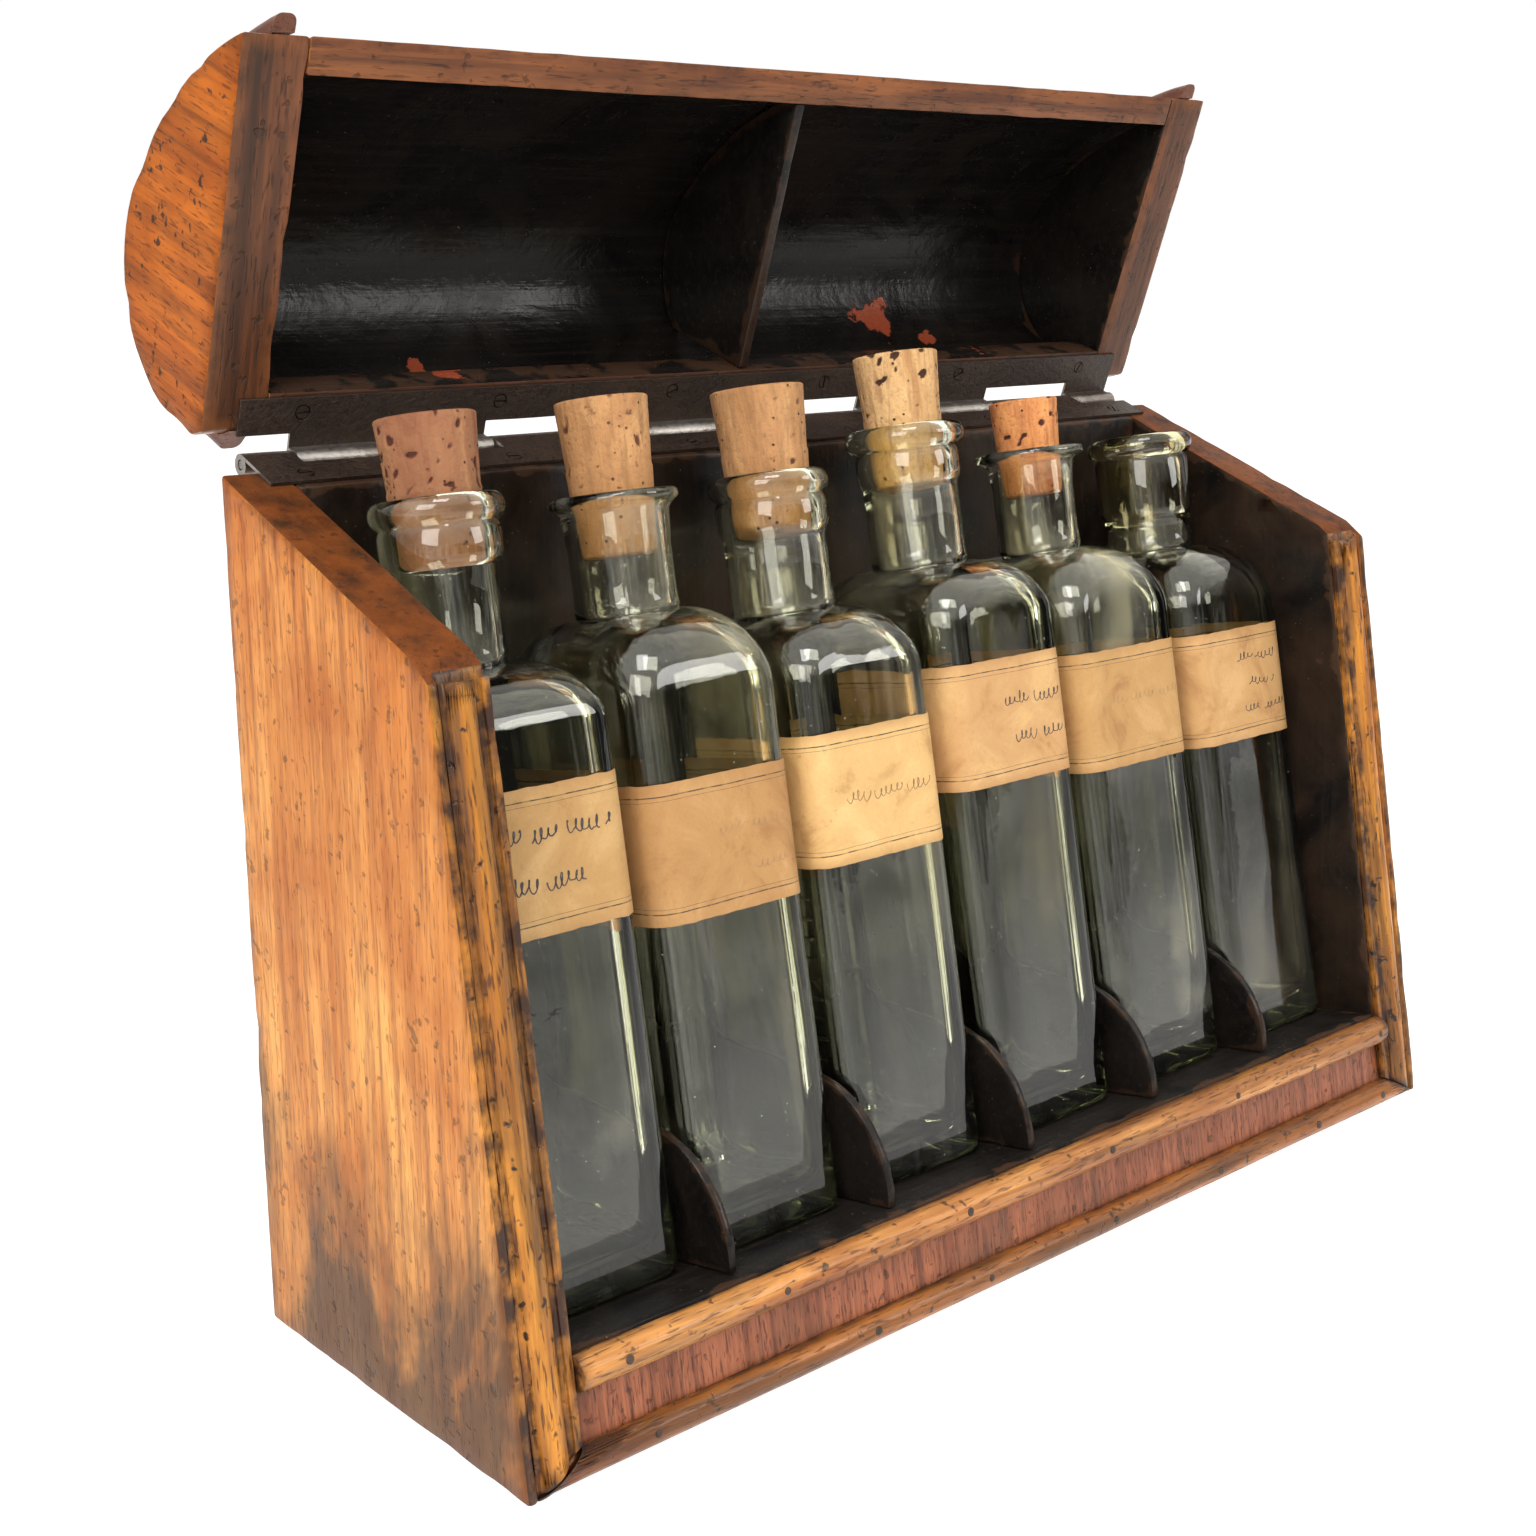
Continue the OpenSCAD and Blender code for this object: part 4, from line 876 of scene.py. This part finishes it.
def loft(made, rows, place, closeStart=True, closeEnd=True):
    rings = [[made.verts.new(place @ (Vector(p) * mm)) for p in row] for row in rows]
    for a, b in zip(rings, rings[1:]):
        for k in range(len(a)):
            made.faces.new((a[k], a[(k + 1) % len(a)], b[(k + 1) % len(b)], b[k]))
    for ring, close, flip in ((rings[0], closeStart, True), (rings[-1], closeEnd, False)):
        if close:
            hub = made.verts.new(sum((v.co for v in ring), Vector()) / len(ring))
            for k in range(len(ring)):
                pair = (ring[k], ring[(k + 1) % len(ring)])
                made.faces.new((pair[1], pair[0], hub) if flip else (pair[0], pair[1], hub))
    return rings


bottleLook = {"corner": 5.5, "wall": 2.2, "foot": 6.0, "wave": 0.2, "seam": 0.16, "neckWall": 1.9}


def lipRows(row, top):  # radius and height of each ring of the lip, outside then inside
    r, neck = row["lip"], row["bore"] + bottleLook["neckWall"]
    drop = top - row["collar"]
    if row["kind"] == 0:
        outer = [(neck - row.get("slim", 0), drop - 1.2), (neck + 0.45, drop - 0.5), (neck + 0.95, drop + 0.4),
                 (neck + 1.1, drop + 1.4),
                 (neck + 1.1, top - 7.6), (neck + 0.75, top - 6.7), (neck + 0.55, top - 6.2)]
        outer += [(r - 2.5 + 2.5 * math.cos(t), top - 3.1 + 3.0 * math.sin(t))
                  for t in [math.radians(a) for a in range(-64, 96, 16)]]
        inner = [(row["bore"] + 1.2, top - 0.35), (row["bore"] + 0.35, top - 0.9), (row["bore"], top - 2.0)]
    else:
        outer = [(neck, drop), (neck + 0.25, drop + 2), (neck + 0.7, top - 4.6), (neck + 1.4, top - 3.4)]
        outer += [(r - 1.35 + 1.35 * math.cos(t), top - 1.45 + 1.35 * math.sin(t))
                  for t in [math.radians(a) for a in range(-70, 96, 15)]]
        inner = [(row["bore"] + 2.2, top - 0.4), (row["bore"] + 0.9, top - 1.3), (row["bore"] + 0.15, top - 3.0),
                 (row["bore"], top - 4.5)]
    return outer, inner


def shapeBottle(number, row):
    node = f"bottle_{number}"
    place, size = uprightPlace(node)
    a, b, top = size.x * 500, size.y * 500, size.z * 1000
    c, wall = bottleLook["corner"], bottleLook["wall"]
    neckTop, neckR = top - row["neck"], row["bore"] + bottleLook["neckWall"] - row.get("slim", 0)
    shoulder = neckTop - row["shoulder"]
    angles = ringAngles(a, b, c)
    shift = Vector((number * 3.1, number * 1.7, 0))

    def ring(half, deep, corner, z, wave=0.0, seam=0.0):
        points = []
        for k, angle in enumerate(angles):
            x, y = roundedRay(angle, half, deep, corner)
            far = math.hypot(x, y)
            here = Vector((x, y, z)) * 0.045 + shift
            push = -abs(noise.noise(here)) * wave if wave > 0 else noise.noise(here * 0.8) * wave
            push += seam if k in (9, 45) else 0
            points.append((x + x / far * push, y + y / far * push, z))
        return points

    rows = [ring(a * 0.3, b * 0.3, a * 0.28, 0.9), ring(a * 0.62, b * 0.62, a * 0.5, 0.8),
            ring(a - 4.2, b - 4.2, c, 0.25),
            ring(a - 2.2, b - 2.2, c, 0.0), ring(a - 1.0, b - 1.0, c, 0.25), ring(a - 0.35, b - 0.35, c, 1.0),
            ring(a, b, c, 2.4, 0.05)]
    steps = 24
    for k in range(1, steps + 1):
        rows.append(ring(a, b, c, 2.4 + (shoulder - 2.4) * k / steps, 0.12, bottleLook["seam"]))
    for k in range(1, 15):  # the shoulder turns in to the neck
        t = math.radians(90 * k / 14)
        share = math.cos(t)
        spreadTo = neckR + 0.6 - 0.6 * k / 14
        half, deep = spreadTo + (a - spreadTo) * share ** 0.9, spreadTo + (b - spreadTo) * share ** 0.9
        corner = min(half, deep) * (1 - share) ** 0.7 + c * (1 - (1 - share) ** 0.7)
        rows.append(ring(half, deep, min(corner, half, deep), shoulder + row["shoulder"] * math.sin(t), 0.08,
                         bottleLook["seam"] * 0.7))
    for z in (1.2, 2.6, 5, 8):
        if neckTop + z < top - row["collar"] - 2:
            rows.append(ring(neckR + 0.5 * math.exp(-z / 1.5), neckR + 0.5 * math.exp(-z / 1.5), neckR, neckTop + z,
                             0.05, 0.08))
    outer, inner = lipRows(row, top)
    rows += [ring(r, r, r, z) for r, z in outer + inner]
    bore = row["bore"]
    rows.append(ring(bore, bore, bore, top - 9, -0.12))
    bore -= row.get("slim", 0)
    for z in (top - 19, neckTop + 2):
        rows.append(ring(bore, bore, bore, z, -0.12))
    ia, ib = a - wall, b - wall
    for k in range(13, 0, -1):
        t = math.radians(90 * k / 14)
        share = math.cos(t)
        half, deep = bore + (ia - bore) * share ** 0.9, bore + (ib - bore) * share ** 0.9
        corner = min(half, deep) * (1 - share) ** 0.7 + (c + 2) * (1 - (1 - share) ** 0.7)
        rows.append(ring(half, deep, min(corner, half, deep), shoulder + (row["shoulder"] - wall) * math.sin(t), -0.2))
    foot = bottleLook["foot"]
    for k in range(steps, -1, -1):
        z = foot + 5 + (shoulder - foot - 5) * k / steps
        rows.append(ring(ia, ib, c + 1.8, z, -bottleLook["wave"] * 2))
    rows += [ring(ia - 0.7, ib - 0.7, c + 1.6, foot + 2.6, -0.2), ring(ia - 2.2, ib - 2.2, c + 1, foot + 0.9, -0.1),
             ring(ia - 4.5, ib - 4.5, c, foot + 0.1),
             ring(ia * 0.6, ib * 0.6, ia * 0.5, foot + 0.5), ring(ia * 0.3, ib * 0.3, ia * 0.28, foot + 1.0)]
    made = bmesh.new()
    loft(made, rows, place)
    bmesh.ops.recalc_face_normals(made, faces=made.faces)
    look = {**paleGlass, "shift": (number * 0.37, number * 0.11, 0), "haze": glassHaze[number - 1]}
    if number == 6:
        look.update(stain=(0.148, 0.172), stainTone=(0.75, 0.6, 0.2))
    piece = finishMesh(f"glassBottle{number}", made, [glassFinish(f"bottleGlass{number}", look)], 50)
    settle(piece, node, "glass", node)
    return place, (a, b, top)


measureLook = {"long": 0.0085, "thick": 0.0009, "proud": 0.00032, "lowest": 17, "step": 4.6, "count": 12}


def markMeasures(place, size):  # raised measuring lines on the left side of the third bottle
    made = bmesh.new()
    bmesh.ops.create_grid(made, x_segments=3, y_segments=8, size=0.5)
    for v in made.verts:
        rise = measureLook["proud"] * math.sqrt(max(0, 1 - (2 * v.co.x) ** 2)) * (1 if abs(v.co.y) < 0.49 else 0)
        x, y = v.co.x * measureLook["thick"], v.co.y * measureLook["long"]
        tilt = math.radians(lean)
        v.co = Vector((x * math.cos(tilt) - y * math.sin(tilt), x * math.sin(tilt) + y * math.cos(tilt), rise))
    skin = bmesh.ops.extrude_face_region(made, geom=made.faces[:])["geom"]
    for v in [g for g in skin if isinstance(g, bmesh.types.BMVert)]:
        v.co.z = -0.0002
    bmesh.ops.recalc_face_normals(made, faces=made.faces)
    bar = addObject("measureBar", meshFrom("measureBar", made))
    half, deep, _ = size
    spots = [place @ Vector((-half * mm, (-deep + bottleLook["corner"] + 5.2) * mm,
                             (measureLook["lowest"] + measureLook["step"] * k) * mm))
             for k in range(measureLook["count"])]
    lines = runTree(copies, pointObject("measureSpots", spots), "measureLines",
                    {"Shape": bar, "Way": (-1, 0, 0), "Size": 1.0, "Size change": 0.04, "Turn change": 0.0, "Seed": 3,
                     "Finish": bpy.data.materials["bottleGlass3"]})
    settle(lines, "bottle_3", "glass")
    bpy.data.objects.remove(bar)


def pathPoint(u, a, b, c):
    # distance u along the outline from the middle of the front, turning right for positive u
    sign = 1 if u >= 0 else -1
    left = abs(u)
    flat, arc, side = a - c, c * math.pi / 2, 2 * (b - c)
    if left <= flat:
        return sign * left, -b, 0.0 * sign, -1.0
    left -= flat
    if left <= arc:
        t = left / c
        return sign * (a - c + c * math.sin(t)), -(b - c + c * math.cos(t)), sign * math.sin(t), -math.cos(t)
    left -= arc
    if left <= side:
        return sign * a, -(b - c) + left, sign * 1.0, 0.0
    left -= side
    t = left / c
    return sign * (a - c + c * math.cos(t)), b - c + c * math.sin(t), sign * math.cos(t), math.sin(t)


# high, out, back and inkOut in millimetres, thick and inkThick in metres
labelLook = {"high": 30.0, "out": 0.22, "back": 7.0, "steps": 110, "levels": 8, "thick": 0.00016,
             "inkOut": 0.262, "inkThick": 0.00002}
labelTones = [paper,
              [(0.5, 0.29, 0.12), (0.42, 0.23, 0.09), (0.32, 0.16, 0.06)],
              [(0.7, 0.46, 0.2), (0.62, 0.39, 0.16), (0.46, 0.26, 0.1)],
              [(0.6, 0.37, 0.16), (0.52, 0.3, 0.13), (0.4, 0.21, 0.08)],
              [(0.52, 0.31, 0.13), (0.45, 0.26, 0.1), (0.34, 0.17, 0.07)],
              [(0.58, 0.35, 0.16), (0.5, 0.29, 0.12), (0.38, 0.2, 0.08)]]


def thicken(piece, depth):
    solid = piece.modifiers.new("thick", "SOLIDIFY")
    solid.thickness, solid.offset = depth, -1
    mesh = bakedMesh(piece)
    piece.modifiers.clear()
    piece.data = mesh


def shapeLabel(number, row, place, size):
    a, b, _ = size
    c, high = bottleLook["corner"], labelLook["high"]
    reach = (a - c) + c * math.pi / 2 + 2 * (b - c) - labelLook["back"]
    made = bmesh.new()
    sheet = made.loops.layers.uv.new("sheet")
    grid, levels = [], labelLook["levels"]
    for j in range(levels + 1):
        line = []
        for k in range(labelLook["steps"] + 1):
            u = -reach + 2 * reach * k / labelLook["steps"]
            edge = noise.noise(Vector((u * 0.35, j * 0.9 if j in (0, levels) else 0, number * 4.0))) * 0.22
            v = high * j / levels + (edge if j in (0, levels) else 0)
            x, y, nx, ny = pathPoint(u, a, b, c)
            lift = labelLook["out"] + 0.03 * noise.noise(Vector((u * 0.2, v * 0.2, number)))
            line.append((made.verts.new(place @ Vector(((x + nx * lift) * mm, (y + ny * lift) * mm,
                                                        (row["label"] + v) * mm))), u * mm, v * mm))
        grid.append(line)
    for j in range(levels):
        for k in range(labelLook["steps"]):
            corners = (grid[j][k], grid[j][k + 1], grid[j + 1][k + 1], grid[j + 1][k])
            face = made.faces.new([p[0] for p in corners])
            for loop, p in zip(face.loops, corners):
                loop[sheet].uv = (p[1], p[2])
    finish = paperFinish(f"labelPaper{number}", {"tones": labelTones[number - 1], "high": high * mm,
                                                     "rules": [(0.0027, 0.00013, 0.95), (0.0037, 0.00007, 0.6)]})
    piece = finishMesh(f"paperLabel{number}", made, [finish], 80)
    thicken(piece, labelLook["thick"])
    settle(piece, f"bottle_{number}", "label_paper", f"label_{number}")
    # a run of looping pen strokes that spells nothing
    rng = random.Random(row["rough"] * 17)
    made = bmesh.new()
    for start, end, level, tall in row["lines"]:
        u, pen, strokes = float(start), row["pen"], []
        while u < end:
            word = min(end, u + rng.uniform(5.5, 9.5))
            stroke, turn = [], rng.uniform(0, 6)
            while u < word:
                turn += 0.42
                size = tall * (0.42 + 0.5 * abs(noise.noise(Vector((u * 0.8, row["rough"], level)))) * 2)
                stroke.append((u + 0.55 * math.sin(turn + 1.2),
                               level + size * 0.5 * math.sin(turn) + 0.3 * math.sin(u * 0.5)))
                u += 0.115 + 0.03 * math.sin(turn * 0.37)
            strokes.append(stroke)
            u += rng.uniform(1.4, 2.4)
        for stroke in strokes:
            last = None
            for k, (x, y) in enumerate(stroke):
                ahead, behind = stroke[min(k + 1, len(stroke) - 1)], stroke[max(k - 1, 0)]
                way = Vector((ahead[0] - behind[0], ahead[1] - behind[1]))
                way = way.normalized() if way.length > 1e-6 else Vector((1, 0))
                width = pen * (0.75 + 0.4 * noise.noise(Vector((x, y, 2.0)))) * (0.75 + 0.35 * abs(way.y))
                sides = []
                for s in (-1, 1):
                    px, py = x - way.y * width / 2 * s, y + way.x * width / 2 * s
                    qx, qy, nx, ny = pathPoint(px, a, b, c)
                    sides.append(made.verts.new(place @ Vector(((qx + nx * labelLook["inkOut"]) * mm,
                                                                (qy + ny * labelLook["inkOut"]) * mm,
                                                                (row["label"] + py) * mm))))
                if last:
                    made.faces.new((last[1], last[0], sides[0], sides[1]))
                last = sides
    for face in made.faces:  # the ink faces away from the bottle
        outward = face.calc_center_median() - (place @ Vector((0, 0, (row["label"] + 15) * mm)))
        if face.normal.dot(outward) < 0:
            face.normal_flip()
    made.normal_update()
    ink = finishMesh(f"penStrokes{number}", made, [inkFinish(f"labelInk{number}", row["ink"], (number * 0.2, 0, 0))],
                     60)
    thicken(ink, labelLook["inkThick"])
    settle(ink, f"bottle_{number}", "label_paper")


def shapeCork(number, row, place, top, bore):
    r0 = bore - 0.3
    low, high = top - row["in"], top + row["out"]
    around, levels = 96, 44
    shift = Vector((number * 2.3, number * 5.1, 1.0))
    made = bmesh.new()
    pitLayer = made.verts.layers.float.new("pit")
    rows = []

    def radiusAt(z):
        return r0 + 0.065 * (z - top)

    profile = [(radiusAt(low) - 0.9, low), (radiusAt(low) - 0.25, low + 0.25), (radiusAt(low), low + 0.9)]
    profile += [(radiusAt(z), z) for z in [low + 0.9 + (high - low - 1.6) * k / levels for k in range(1, levels)]]
    profile += [(radiusAt(high), high - 0.7), (radiusAt(high) - 0.15, high - 0.25), (radiusAt(high) - 0.6, high - 0.03),
                (radiusAt(high) - 1.5, high), (radiusAt(high) * 0.72, high), (radiusAt(high) * 0.5, high),
                (radiusAt(high) * 0.28, high), (radiusAt(high) * 0.1, high)]
    profile = [(radiusAt(low) * 0.3, low), (radiusAt(low) * 0.7, low)] + profile
    for r, z in profile:
        ring = []
        for k in range(around):
            t = 2 * math.pi * k / around
            here = Vector((r * math.cos(t), r * math.sin(t), z))
            rough = noise.noise((here + shift) * 0.55) * 0.12 + noise.noise((here + shift) * 1.6) * 0.07
            hollow = max(0.0, noise.noise((here + shift * 2) * 0.42) - 0.42 + 0.06 * row["pits"]) * 4 * row["pits"]
            hollow = min(hollow, 1.0) if z > top + 0.8 else 0.0
            flat = r < radiusAt(high) - 1.0 and z > top
            if flat:
                here.z -= 0.35 * abs(rough) * 4 + hollow * 0.6
            else:
                inward = (0.2 + abs(rough) + hollow * 0.7) if z > top else 0.12 + abs(rough) * 0.6
                here.x -= math.cos(t) * inward
                here.y -= math.sin(t) * inward
            ring.append((here, hollow))
        rows.append(ring)
    rings = loft(made, [[p[0] for p in ring] for ring in rows], place)
    for ring, row2 in zip(rings, rows):
        for vertex, p in zip(ring, row2):
            vertex[pitLayer] = p[1]
    bmesh.ops.recalc_face_normals(made, faces=made.faces)
    finish = corkFinish(f"corkSkin{number}", {**row, "shift": (number * 0.31, 0, number * 0.17)})
    piece = finishMesh(f"cork{number}", made, [finish], 70)
    settle(piece, f"cork_{number}", "cork", f"cork_{number}")


for number, row in enumerate(bottleRows, 1):
    place, size = shapeBottle(number, row)
    shapeLabel(number, row, place, size)
    if number == 3:
        markMeasures(place, size)
    if number <= 5:
        shapeCork(number, corkRows[number - 1], place, size[2], row["bore"])
print("bottles, labels and corks shaped")


def makeFloor():
    finish, tree, shader = startFinish("paleFloor")
    setSockets(tree, shader, {"Base Color": (0.6, 0.6, 0.59, 1), "Roughness": 0.85, "Specular IOR Level": 0.1,
                              "Emission Color": (1.0, 1.0, 0.99, 1)})
    # lit from below, as a shooting table is, and dimmer well in front, where the bottles mirror it
    place = addNode(tree, "ShaderNodeSeparateXYZ", {0: objectPoint(tree)})
    front = times(tree, spread(tree, place.outputs["Y"], -0.22, -0.7),
                  spread(tree, place.outputs["Y"], -1.2, -3.2, 1, 0))
    tree.links.new(spread(tree, front, 0, 1, 0.85, 0.28), shader.inputs["Emission Strength"])
    bpy.ops.mesh.primitive_circle_add(vertices=96, radius=14, fill_type="NGON", location=(0, 0, cadLow.z - 0.0002))
    floor = bpy.context.object
    floor.name = "paleFloor"
    floor.data.materials.append(finish)


makeFloor()
